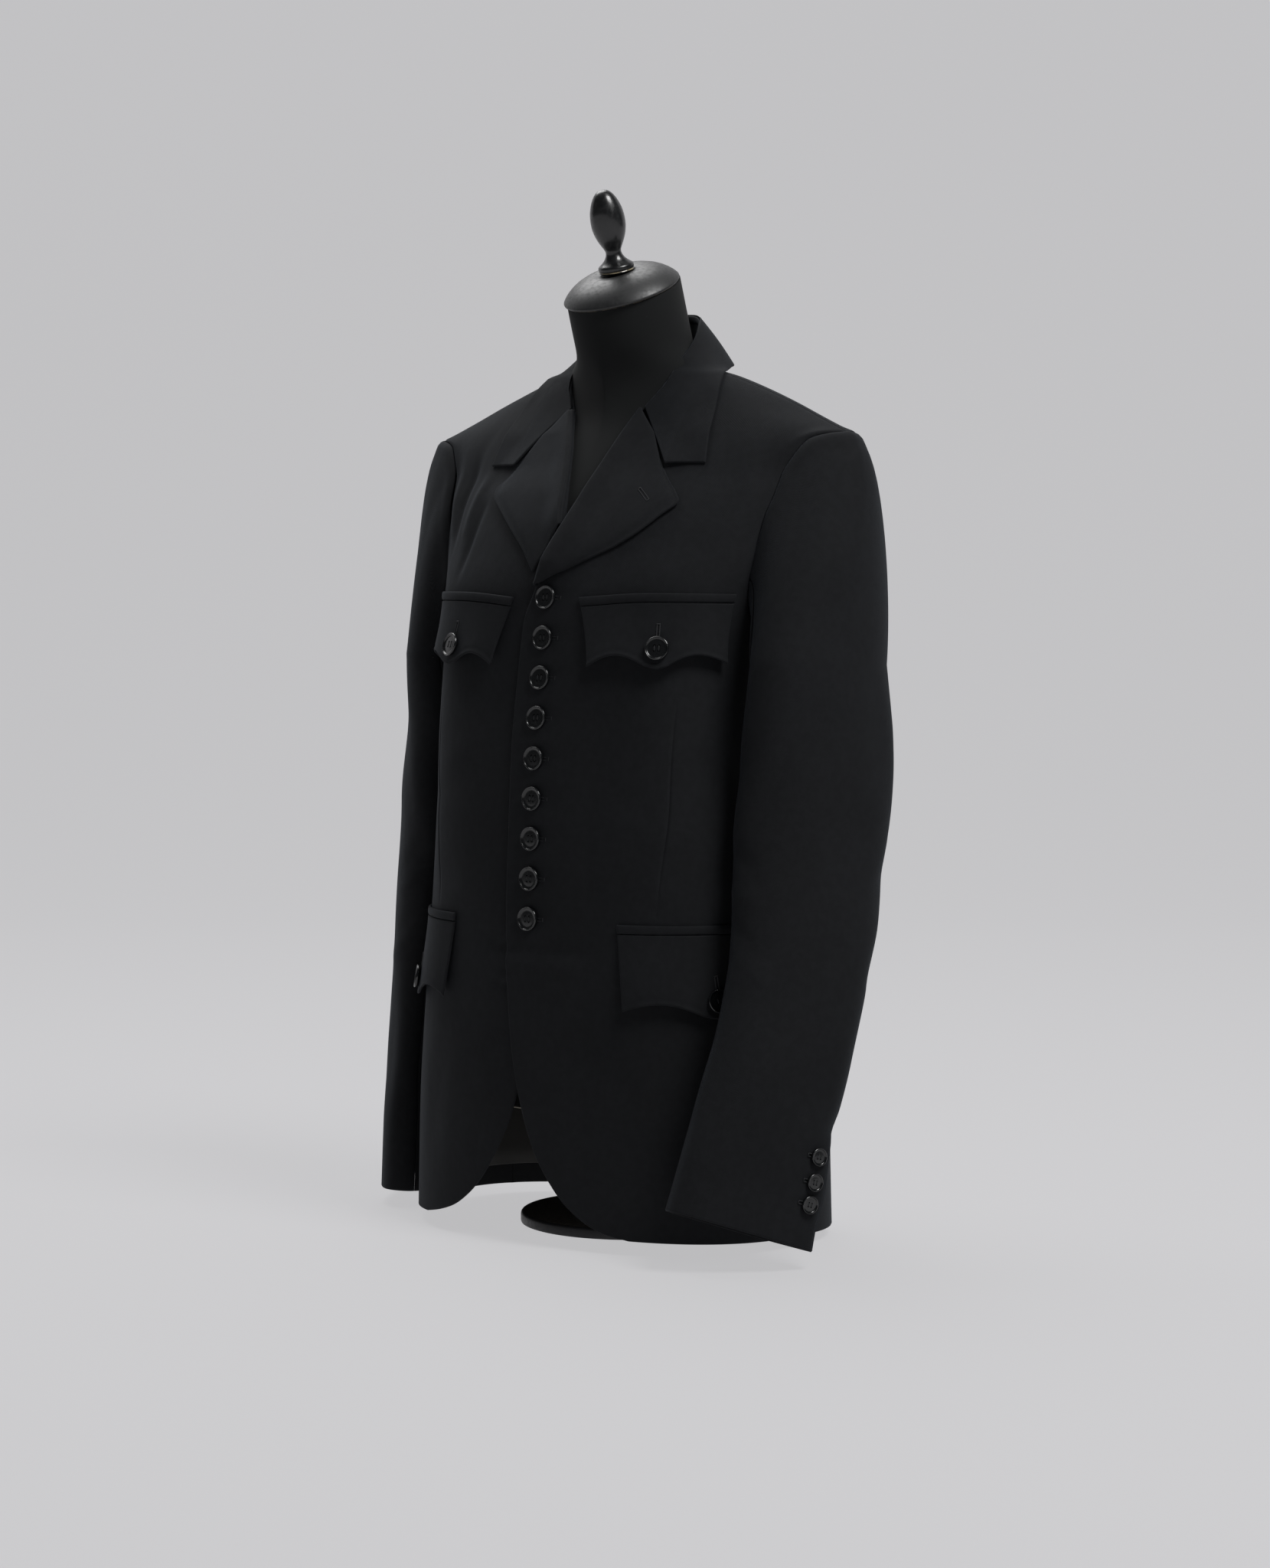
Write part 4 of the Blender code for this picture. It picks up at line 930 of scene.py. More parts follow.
@dataclass
class Sleeve:
    """A two-piece sleeve, set into the armhole.

    Args:
        side: The arm it covers.
        table: Its stations below the armhole.
        drape: The folds of the cloth.
        wall: The cloth's thickness.
        seam_gap: Half the gap at its two seams.
        sink: How deep its seams sink.
        points_round: Places round the sleeve, counted from the shoulder tip over the front.
        pitch_round: About how far apart these places are, in millimetres.
        cap_line: The height at which the cap ends.
        bend_line: The height above which the sleeve starts to hang straight.
        bend_reach: How far above that line it does so in full.
        lean: The rise in height for a way along the cuff.
        front_end: The last place on the front's edge of the armhole.
        back_start: The first place on the back's edge of it.
        front_seam: The place of the front seam.
        back_seam: The place of the back seam.
        vent_reach: How far the top sleeve reaches over the vent.
        vent_taper: Heights above the cuff, and how much less it reaches there.
        vent_height: How high the vent's flat strip ends.
        vent_turn: The place where the strip leaves the round of the sleeve.
        vent_strip: The place where the under sleeve's strip starts.
        vent_under: How far the under sleeve reaches further than the top sleeve.
        vent_step: How far it lies below the top sleeve.
    """

    side: Side
    table: Table
    drape: Drape
    wall: float = 1.8 * MM
    seam_gap: float = 0.15 * MM
    sink: float = 0.45 * MM
    points_round: int = 22
    pitch_round: float = 12.3
    cap_line: float = 505.0
    bend_line: float = 455.0
    bend_reach: float = 50.0
    lean: float = 0.95
    front_end: int = 9
    back_start: int = 13
    front_seam: int = 7
    back_seam: int = 16
    vent_reach: float = 24.0
    vent_taper: Table = ((0, 16, 40, 52, 66, 90), (1.1, 2.8, 2.7, 3.6, 5.0, 6.3))
    vent_height: float = 112.0
    vent_turn: float = 19.5
    vent_strip: float = 15.2
    vent_under: float = 3.2
    vent_step: float = 3.0 * MM

    def armhole(self, j: Array) -> Places:
        """Angle and height of the armhole, from the shoulder tip down the front and up the back."""
        last = len(FRONT_ROWS) - 1
        j = np.mod(j, self.points_round)
        front = along_rows(FRONT_ROWS, FRONT_COLUMNS, np.clip((last - j) / last, 0, 1))
        back = along_rows(BACK_ROWS, BACK_COLUMNS, np.clip(j / last, 0, 1))
        under = np.clip((j - self.front_end) / (self.back_start - self.front_end), 0, 1)
        low = dict(zip(("outer_angle", "outer_height"), underarm(under)))
        return tuple(np.select([j <= self.front_end, j >= self.back_start],
                               [front[name], back[name]], low[name]) for name in low)

    def station(self, height: Array, j: Array) -> Array:
        """Rings of the sleeve's plain form below the armhole, at these heights of its centre line."""
        rows = columns(self.table, SLEEVE_COLUMNS)

        def read(name: str, at: Array) -> Array:
            """One column of the table at these heights."""
            return curve(rows["height"], rows[name], at)

        centre, above, below = [
            np.stack([read(name, height + step) for name in ("out", "forth", "height")], -1)
            for step in (0.0, 6.0, -6.0)]
        share = ease((height - self.bend_line) / self.bend_reach)[..., None] * 0.5
        down = unit(unit(below - above) * (1 - share) + np.array([0, 0, -1.0]) * share)
        turn = np.radians(read("turn", height))
        forth = unit(across_way(np.stack([-np.sin(turn), -np.cos(turn), np.zeros_like(turn)], -1), down))
        out = unit(np.cross(down, forth))
        out = out * np.where(out[..., :1] < 0, -1, 1)
        flat = 2 / (2.0 + 0.5 * ease((152.0 - height) / 56.0)[:, None])
        psi = self.turn_at(j)
        short = read("half_short", height)[:, None] * powered(np.cos(psi), flat)
        long = read("half_long", height)[:, None] * powered(np.sin(psi), flat)
        return (centre[:, None] + out[:, None] * short[..., None] + forth[:, None] * long[..., None]) * MM

    def turn_at(self, j: Array) -> Array:
        """The turn round the sleeve at these places, in radians."""
        return 2 * math.pi * j / self.points_round

    @property
    def lowest(self) -> float:
        """The height of the cuff's edge."""
        return self.table[-1][0]

    def lay_cuff(self, mid: Array, heights: Array, j: Array, top: bool) -> Array:
        """Lays the cloth flat beside the vent, the top sleeve over the under sleeve.

        Args:
            mid: Rows of the left sleeve at these heights.
            heights: The rows' heights.
            j: Places round the sleeve.
            top: Whether it is the top sleeve.

        Returns:
            The moved rows.
        """
        place = np.mod(np.broadcast_to(j, mid.shape[:2]), self.points_round)[..., None]
        rise = heights - self.lowest
        weight = ease((self.vent_height - rise) / 34.0)[:, None, None]
        reach = ((self.vent_reach - np.interp(rise, *self.vent_taper)) * MM)[:, None, None]
        spots = (self.vent_turn, self.vent_turn - 0.15, 0.0, self.vent_strip, self.points_round / 2)
        turn, before, side, last, inside = (self.station(heights, np.array([k])) for k in spots)
        along = unit(before - turn)
        facing = unit(across_way(side - (inside + side) / 2, along))
        if top:
            share = (self.vent_turn - place) / (self.vent_turn - self.back_seam)
            move = turn + along * reach * share - mid
            return mid + np.where((share > 0) & (share <= 1.0001), move, 0) * weight
        under = turn - facing * (self.wall + 0.4 * MM)
        edge = under + along * (reach + self.vent_under * MM) - facing * self.vent_step
        share = (place - self.vent_strip) / (self.back_seam - self.vent_strip)
        ahead = reach + (self.vent_under - 7.2 * share ** 1.3) * MM
        strip = under + along * ahead - facing * self.vent_step * (1 - ease(share * 3.0))
        bent = mid + (edge - last) * ease((place - 11.5) / 3.7)
        return mid + (np.where(share > 0, strip, bent) - mid) * weight

    def grid(self, cap_rows: Array, heights: Array, j: Array, top: bool) -> Array:
        """Points of the left sleeve's plain form.

        Args:
            cap_rows: Shares of the cap, from the seam down.
            heights: Heights below the cap, falling.
            j: Places round the sleeve.
            top: Whether it is the top sleeve.

        Returns:
            Rows from the armhole to the cuff.
        """
        angle, height = self.armhole(j)
        point, outward = body_place(angle, height)
        ahead, before = (body_surface(*self.armhole(j + step)) for step in (0.05, -0.05))
        across = unit(np.cross(outward, unit(ahead - before)))
        ring = np.linspace(0, self.points_round, 44, endpoint=False)
        middle = body_surface(*self.armhole(ring)).mean(0)
        across *= np.where(np.sum(across * (middle - point), -1, keepdims=True) < 0, -1, 1)
        psi = self.turn_at(j)
        first = point + across * (0.3 * MM * (1 + 1.5 * (0.5 - 0.5 * np.cos(psi))))[:, None]
        below = self.station(np.array([self.cap_line]), j)[0]
        down = self.station(np.array([self.cap_line - 5]), j)[0] - below
        down = unit(down.mean(0))
        reach = np.linalg.norm(below - first, axis=-1, keepdims=True)
        fall = 0.22 + 0.28 * np.cos(psi)
        leave = unit(np.stack([np.ones_like(psi), -0.25 * np.sin(psi), -fall], -1))
        leave = leave * reach * (0.52 + 0.06 * np.cos(psi))[:, None]
        arrive = down * reach * 0.9
        t = cap_rows[:, None, None]
        cap = (first * ((1 + 2 * t) * (1 - t) ** 2) + leave * (t * (1 - t) ** 2)
               + below * (t * t * (3 - 2 * t)) + arrive * (t * t * (t - 1)))
        low = self.station(heights, np.broadcast_to(j, (len(heights), len(j))))
        return np.concatenate([cap, self.lay_cuff(low, heights, j, top)])

    def place(self, cap_rows: Array, heights: Array, j: Array, top: bool) -> Places:
        """Draped points of the sleeve, with the roll at its head, and the outward directions."""
        mid = mirrored(self.grid(cap_rows, heights, j, top), self.side)
        hint = mid - mid.mean(axis=1, keepdims=True)
        hint[0] = hint[1]
        out = normals(mid, hint)
        rows, _ = grid_lengths(mid)
        psi = self.turn_at(j)
        head = ease(0.5 + 0.8 * np.cos(psi)) * 1.6 * MM * bell(rows - 5.5 * MM, 4.5 * MM)
        return mid + out * (self.drape.rise(mid) + head)[..., None], out

    def build(self, finish: Material, inner: Material) -> None:
        """Builds the top sleeve and the under sleeve."""
        cap = np.concatenate([[0, 0.004, 0.01, 0.02], np.linspace(0.035, 0.97, 30)])
        hem = self.lowest + np.array([6.0, 3.5, 2.0, 1.0, 0.0])
        heights = np.concatenate([np.arange(self.cap_line, self.lowest + 8, -4.4), hem])
        for part, first, last in (("top", self.back_seam - self.points_round, self.front_seam),
                                  ("under", self.front_seam, self.back_seam)):
            j = first + (last - first) * spaced((last - first) * self.pitch_round, 3.6)
            mid, out = self.place(cap, heights, j, part == "top")
            for edge, step in ((0, 1), (-1, -2)):
                mid[:, edge] += unit(mid[:, step] - mid[:, edge]) * self.seam_gap
            name = "sleeve_%s_%s" % (part, self.side.label)
            Cloth(name, mid, out, self.wall, ("low", "first", "last"), self.sink).make(finish, inner)

    def at(self, rise: float, j: float) -> Spot:
        """A place on the sleeve's outside near the cuff, the way out and the way up.

        Args:
            rise: Height above the hem in millimetres, along the sleeve.
            j: The place round the sleeve.

        Returns:
            The place, the outward direction and the upward direction, in the part's frame.
        """
        heights = self.lowest + rise * self.lean + np.array([3.0, 0.0, -3.0])
        ring = self.station(heights, np.arange(0, self.points_round, 1.0))
        near = j + np.array([-0.2, 0.0, 0.2])
        mid = mirrored(self.lay_cuff(self.station(heights, near), heights, near, True), self.side)
        centre = mirrored(ring.mean(axis=1, keepdims=True), self.side)
        way = normals(mid, mid - centre)[1, 1]
        lift = self.wall / 2 + 0.3 * MM
        spot = mid[1, 1] + way * (self.drape.rise(mid)[1, 1] + lift)
        return above_floor(spot), Vector(way), Vector(unit(mid[0, 1] - mid[2, 1]))


@dataclass
class Lapel:
    """A lapel turned out along its roll, lying on the front.

    Args:
        side: The front that it belongs to.
        table: Its fold and outer edge.
        body: The cloth that it lies on.
    """

    side: Side
    table: Table
    body: BodyCloth
    wall: float = LAPEL_WALL
    roll: float = 2.3 * MM

    def build(self, finish: Material) -> None:
        """Builds the lapel, from inside its roll to the outer edge."""
        t = spaced(165, 2.2)
        rows = along_rows(self.table, LAPEL_COLUMNS, t)
        rows = {name: values[:, None] for name, values in rows.items()}
        low, high = rows["fold_height"], rows["edge_height"]
        start, end = angle_at(rows["fold_out"], low), angle_at(rows["edge_out"], high)
        wide = np.linalg.norm(body_surface(end, high) - body_surface(start, low), axis=-1) / MM
        turn = np.radians(np.linspace(-80, 90, 9))[None, :]
        flat = spaced(85, 2.2)[3:][None, :]
        loose = 1 + 0.6 * bell(t - 0.12, 0.14)[:, None]
        radius = self.roll / MM * loose * np.clip(wide / 22.0, 0.35, 1)
        share_roll = -radius * np.cos(turn) * 0.55 / np.maximum(wide, 6)
        lift_roll = radius * (1 + np.sin(turn)) * MM
        share = np.concatenate([share_roll, flat * np.ones_like(wide)], axis=1)
        settle = 1 - ease(flat * wide / 26.0)
        belly = np.sin(math.pi * np.clip(flat, 0, 0.97)) ** 0.8
        ground = BODY_WALL / 2 + CLEAR + self.wall / 2
        belly = belly * (0.6 + 1.7 * (1 - t[:, None])) * MM
        lift_flat = ground + (2 * radius * MM - ground * 0.4) * settle + belly
        lift = np.concatenate([lift_roll, lift_flat], axis=1)
        angle = start + (end - start) * share
        height = low + (high - low) * share
        place, out = self.body.settle(*body_place(angle, height), self.side)
        place = place + out * (lift + self.edge_wave(t, share))[..., None]
        Cloth("lapel_" + self.side.label, place, out, self.wall, ("high",)).make(finish)

    def edge_wave(self, t: Array, share: Array) -> Array:
        """How the outer edge lifts a little between its lower end and its peak, in metres."""
        wave = 0.9 * np.sin(math.pi * t * 1.1) - 0.25 * np.sin(math.pi * 3 * t)
        pressed = -0.45 * bell((share - 0.93) * 60, 2.2)
        return (wave[:, None] * ease((share - 0.55) / 0.45) + pressed) * MM


def ring_depth(points: Array) -> Places:
    """How far points lie outside the garment's plain form, and the way out, from the rings' growth.

    Args:
        points: Points in metres.

    Returns:
        Distances in metres, negative inside, and directions.
    """

    def size(place: Array) -> Array:
        """How large a ring must be to pass through these points, 1 for the form's own."""
        ring = body_ring(place[..., 2] / MM)
        side, behind = place[..., 0] / MM, place[..., 1] / MM - ring["centre"]
        power = np.where(behind < 0, ring["front_power"], ring["back_power"])
        depth = np.where(behind < 0, ring["front"], ring["back"]) - ring["centre"]
        return (np.abs(side / ring["half_width"]) ** power + np.abs(behind / depth) ** power) ** (1 / power)

    step = 0.3 * MM
    moves = np.eye(3) * step
    growth = np.stack([(size(points + m) - size(points - m)) / (2 * step) for m in moves], -1)
    length = np.maximum(np.linalg.norm(growth, axis=-1), 1e-6)
    return (size(points) - 1) / length, unit(growth)


@dataclass
class Collar:
    """The collar: a fall over the shoulders and a stand round the neck."""

    wall: float = 2.2 * MM
    stand_wall: float = 1.5 * MM
    lift: float = 2.6 * MM
    top: float = 757.0
    notch_share: float = 0.54
    inside: Triple = (0.0, 0.012, 0.70)

    def read(self, name: str, t: Array) -> Array:
        """Points of the fold, the edge or the seam, from the right front to the left."""
        rows = along_rows(COLLAR_ROWS, COLLAR_COLUMNS, np.abs(t))
        side = np.where(t >= 0, 1, -1)
        return np.stack([rows[name + "_x"] * side, rows[name + "_y"], rows[name + "_z"]], -1) * MM

    def fall(self) -> Array:
        """Rows of points from inside the fold to the outer edge."""
        t = 2 * spaced(430, 3.0) - 1
        fold, edge, seam = (self.read(name, t)[:, None] for name in ("fold", "edge", "seam"))
        side = np.where(t >= 0, 1, -1)
        notch = np.array(COLLAR_NOTCH) * MM * np.stack([side, np.ones_like(side), np.ones_like(side)], -1)
        notch = notch[:, None]
        u = spaced(60, 2.4)[2:][None, :, None]
        straight = fold + (edge - fold) * u
        first = fold + (notch - fold) * (u / self.notch_share)
        second = notch + (edge - notch) * ((u - self.notch_share) / (1 - self.notch_share))
        bent = np.where(u < self.notch_share, first, second)
        near = ease((np.abs(t) - 0.8) / 0.2)[:, None, None]
        line = straight + (bent - straight) * near
        height = 1.5 + 3.3 * ease((np.abs(t) - 0.6) / 0.4)[:, None, None]
        swell = np.sin(math.pi * np.minimum(u, 1.0)) * height * MM
        line = line + (self.away(line) * 0.5 + np.array([0, 0, 0.85])) * swell
        line = line + self.clearance(line)
        return np.concatenate([self.inside_fold(line, seam), line], axis=1)

    def clearance(self, line: Array) -> Array:
        """How the fall moves to lie on the shoulders, fading out softly above them."""
        moved = line.copy()
        for _ in range(4):
            gap, way = ring_depth(moved)
            low = line[..., 2] < self.top * MM
            moved = moved + way * np.where(low, np.maximum(self.lift - gap, 0), 0)[..., None]
        shift = moved - line
        for _ in range(12):
            spread = np.pad(shift, ((1, 1), (1, 1), (0, 0)), mode="edge")
            spread = (spread[:-2, 1:-1] + spread[2:, 1:-1] + spread[1:-1, :-2] + spread[1:-1, 2:]) * 0.23
            grows = np.linalg.norm(spread, axis=-1) > np.linalg.norm(shift, axis=-1)
            shift = np.where(grows[..., None], spread, shift)
        return shift * ease((self.top + 24 - line[..., 2] / MM) / 22)[..., None]

    def inside_fold(self, line: Array, seam: Array) -> Array:
        """The turn over the fold, from the stand's side up to the fall's first row."""
        start = line[:, :1]
        inward = unit(seam - start)
        over = unit(start - line[:, 3:4])
        out = unit(across_way(over, inward))
        steps = np.array([1.0, 0.72, 0.46, 0.24, 0.1])[None, :, None]
        bulge = np.sin(math.pi * steps * 0.8) * 0.8 * MM
        room = np.minimum(np.linalg.norm(seam - start, axis=-1, keepdims=True) * 0.4, 7 * MM)
        return start + inward * room * steps ** 1.3 + out * bulge

    def stand(self) -> Array:
        """Rows of points from the neck seam up towards the fold."""
        t = (2 * spaced(330, 3.2) - 1) * 0.86
        fold, seam = self.read("fold", t)[:, None], self.read("seam", t)[:, None]
        height = np.linalg.norm(fold - seam, axis=-1, keepdims=True)
        top = fold + (seam - fold) * np.minimum(3.5 * MM / height, 0.4)
        u = spaced(34, 3.0)[None, :, None]
        return seam + (top - seam) * u

    def build(self, finish: Material) -> None:
        """Builds the fall and the stand."""
        fall = self.fall()
        Cloth("collar_fall", fall, unit(fall - np.array(self.inside)), self.wall).make(finish)
        stand = self.stand()
        Cloth("collar_stand", stand, self.away(stand), self.stand_wall).make(finish)

    @staticmethod
    def away(points: Array) -> Array:
        """Level directions away from the middle of the neck."""
        return unit(points * np.array([1, 1, 0]) + np.array([0, 2 * MM, 0]))


@dataclass
class Flap:
    """A pocket's scalloped flap, with the welt above it.

    Args:
        side: The front that it lies on.
        kind: Chest or hip.
        body: The cloth that it lies on.
    """

    side: Side
    kind: Pocket
    body: BodyCloth
    inner: float = 35.5
    top: float = 558.0
    rise: float = 4.0
    width: float = 133.0
    corner: float = 56.5
    arch: float = 49.5
    point: float = 61.5
    inner_slant: float = 6.0
    outer_slant: float = 5.0
    stand_off: float = 7.0
    button_rise: float = 16.5
    peak: float = 0.5
    tip_share: float = 0.16
    tip_fall: float = 2.5
    welt: float = 7.0
    wall: float = 2.2 * MM

    def drop(self, u: Array) -> Array:
        """How far the lower edge hangs down: a point at the peak, two arches and two corners."""
        t = np.where(u < self.peak, (self.peak - u) / self.peak, (u - self.peak) / (1 - self.peak))
        start = self.point - self.tip_fall
        tip = self.point - self.tip_fall * t / self.tip_share
        quarter = (1 - self.tip_share) / 2
        crown = self.tip_share + quarter
        rising = np.clip((t - self.tip_share) / quarter, 0, 1) * math.pi / 2
        falling = np.clip((t - crown) / quarter, 0, 1) * math.pi / 2
        arch = start + (self.arch - start) * np.sin(rising)
        corner = self.arch + (self.corner - self.arch) * (1 - np.cos(falling))
        return np.where(t < self.tip_share, tip, np.where(t < crown, arch, corner))

    def angles(self, u: Array) -> Array:
        """Angles along the top edge, at these shares of its width."""
        start = float(angle_at(self.inner, self.top))
        line = start + np.linspace(0, 75, 900)
        points = body_surface(line, self.top)
        gone = np.concatenate([[0], np.cumsum(np.linalg.norm(np.diff(points, axis=0), axis=-1))]) / MM
        return np.interp(u * self.width, gone, line)

    def place(self, u: Array, v: Array, high: float, low: Array, lift: Array) -> Places:
        """Points of the flap on one side of the body.

        Args:
            u: Shares across.
            v: Shares down, as a column.
            high: How far below the top edge the first row lies.
            low: How far below the top edge the last row lies.
            lift: How far each point stands off the cloth, in metres.

        Returns:
            The points and outward directions.
        """
        drop = high + (low - high) * v
        height = self.top + self.rise * np.sin(math.pi * np.minimum(u, 0.5)) - drop
        lean = (self.inner_slant + (self.outer_slant - self.inner_slant) * u) * drop / self.corner
        angle = self.angles(u) + np.zeros_like(height)
        here = body_surface(angle, np.maximum(height, self.top - self.corner))
        turn = np.degrees(lean * MM / np.maximum(np.linalg.norm(here[..., :2], axis=-1), 60 * MM))
        place, out = self.body.settle(*body_place(angle + turn, height), self.side)
        return place + out * lift[..., None], out

    def lift(self, v: Array, u: Array) -> Array:
        """How far the flap stands off the front, in metres."""
        ground = BODY_WALL / 2 + CLEAR + self.wall / 2
        sag = 0.5 * MM * np.sin(math.pi * 2 * u) * v
        curl = 0.8 * MM * (1 - np.minimum(np.minimum(u, 1 - u) / 0.1, 1)) * v ** 2
        return ground + self.stand_off * MM * v ** 1.5 + sag - curl

    def build(self, finish: Material) -> None:
        """Builds the flap and its welt."""
        u = spaced(self.width, 1.9)[None, :]
        v = spaced(self.corner - self.welt, 1.9)[:, None]
        mid, out = self.place(u, v, self.welt + 0.6, self.drop(u), self.lift(v, u))
        pressed = 0.35 * MM * bell((1 - v) * (self.corner - self.welt) - 4.5, 1.3)
        mid = mid - out * pressed[..., None]
        name = "%s_%s" % (self.kind.value, self.side.label)
        Cloth("flap_" + name, mid, out, self.wall).make(finish)
        v = spaced(self.welt, 1.0)[:, None]
        ground = np.full((len(v), u.shape[1]), BODY_WALL / 2 + CLEAR + self.wall / 2)
        belly = 0.5 * MM * np.sin(math.pi * v)
        mid, out = self.place(u, v, 0.0, np.full_like(u, self.welt), ground + belly)
        Cloth("welt_" + name, mid, out, self.wall).make(finish)

    def at(self, u: float, below: float) -> Spot:
        """A place on the flap's outside, the way out and the way up.

        Args:
            u: The share across.
            below: Distance under the top edge, in millimetres.

        Returns:
            The place, the outward direction and the upward direction, in the part's frame.
        """
        us = np.array([[u - 0.01, u, u + 0.01]])
        low = float(self.drop(np.array([[u]]))[0, 0])
        v = (below - self.welt) / (low - self.welt)
        vs = np.array([[v - 0.03], [v], [v + 0.03]])
        mid, out = self.place(us, vs, self.welt, np.full_like(us, low), self.lift(np.clip(vs, 0, 1.2), us))
        way = normals(mid, out)[1, 1]
        return above_floor(mid[1, 1] + way * self.wall / 2), Vector(way), Vector(unit(mid[0, 1] - mid[2, 1]))


def smooth_profile(profile: Profile, step: float) -> List[Tuple[float, float]]:
    """Adds points to a profile, along a smooth curve through its own.

    Args:
        profile: Rows of radius and height.
        step: The wanted spacing.

    Returns:
        A denser profile.
    """
    points = np.array(profile, float)
    gone = np.concatenate([[0], np.cumsum(np.linalg.norm(np.diff(points, axis=0), axis=1))])
    places = np.linspace(0, gone[-1], max(2, int(round(gone[-1] / step))) + 1)
    return list(zip(curve(gone, points[:, 0], places).tolist(), curve(gone, points[:, 1], places).tolist()))


def turned(name: str, profile: Profile, sides: int, finish: Material) -> Thing:
    """Turns a profile about the Z axis into a closed solid.

    Args:
        name: The object's name.
        profile: Rows of radius and height in millimetres, from the bottom's rim to the top's.
        sides: Steps round.
        finish: The material.

    Returns:
        The object, with a map of its turn and of the way along the profile.
    """
    if bpy.context.object is not None and bpy.context.object.mode != "OBJECT":
        bpy.ops.object.mode_set(mode="OBJECT")
    bpy.ops.object.select_all(action="DESELECT")
    radius, height = profile[0]
    spot = (0, 0, height * MM)
    bpy.ops.mesh.primitive_circle_add(vertices=sides, radius=radius * MM, fill_type="NGON", location=spot)
    thing = bpy.context.object
    bpy.ops.object.mode_set(mode="EDIT")
    bpy.ops.mesh.select_all(action="SELECT")
    for (before, low), (radius, height) in zip(profile, profile[1:]):
        move = {"value": (0.0, 0.0, (height - low) * MM)}
        bpy.ops.mesh.extrude_region_move(TRANSFORM_OT_translate=move)
        share = radius / before
        bpy.ops.transform.resize(value=(share, share, 1.0))
    bpy.ops.mesh.select_all(action="SELECT")
    bpy.ops.mesh.normals_make_consistent(inside=False)
    bpy.ops.object.mode_set(mode="OBJECT")
    bpy.ops.object.transform_apply(location=True, rotation=True, scale=True)
    bpy.ops.object.shade_smooth_by_angle(angle=math.radians(SHARP_EDGE))
    thing.name = thing.data.name = name
    thing.data.materials.append(finish)
    lay_turned_uv(thing.data, profile)
    return thing


def lay_turned_uv(mesh: Mesh, profile: Profile) -> None:
    """Maps a turned mesh by its turn and by the way along the profile, in metres."""
    points = np.array(profile, float) * MM
    gone = np.concatenate([[0], np.cumsum(np.linalg.norm(np.diff(points, axis=0), axis=1))])
    places = np.array([vertex.co[:] for vertex in mesh.vertices])
    own = np.stack([np.hypot(places[:, 0], places[:, 1]), places[:, 2]], 1)
    along = gone[np.argmin(np.linalg.norm(own[:, None] - points[None], axis=2), axis=1)]
    turn = np.arctan2(places[:, 1], places[:, 0]) * 0.02
    lay_map(mesh, "turned", np.stack([turn, along], 1))


def select(*things: Thing) -> None:
    """Selects these objects alone, the first of them as the active one."""
    bpy.ops.object.select_all(action="DESELECT")
    for thing in things:
        thing.select_set(True)
    bpy.context.view_layer.objects.active = things[0]


def placed(thing: Thing, matrix: Matrix) -> Thing:
    """Moves an object's mesh, so that the object itself stays at the origin."""
    thing.data.transform(matrix)
    thing.data.update()
    return thing


def standing(spot: Vector, out: Vector, up: Vector) -> Matrix:
    """The matrix that stands a piece made about Z on a surface, its Y upwards."""
    z = out.normalized()
    x = up.cross(z).normalized()
    turn = Matrix((x, z.cross(x), z)).transposed().to_4x4()
    return Matrix.Translation(spot) @ turn


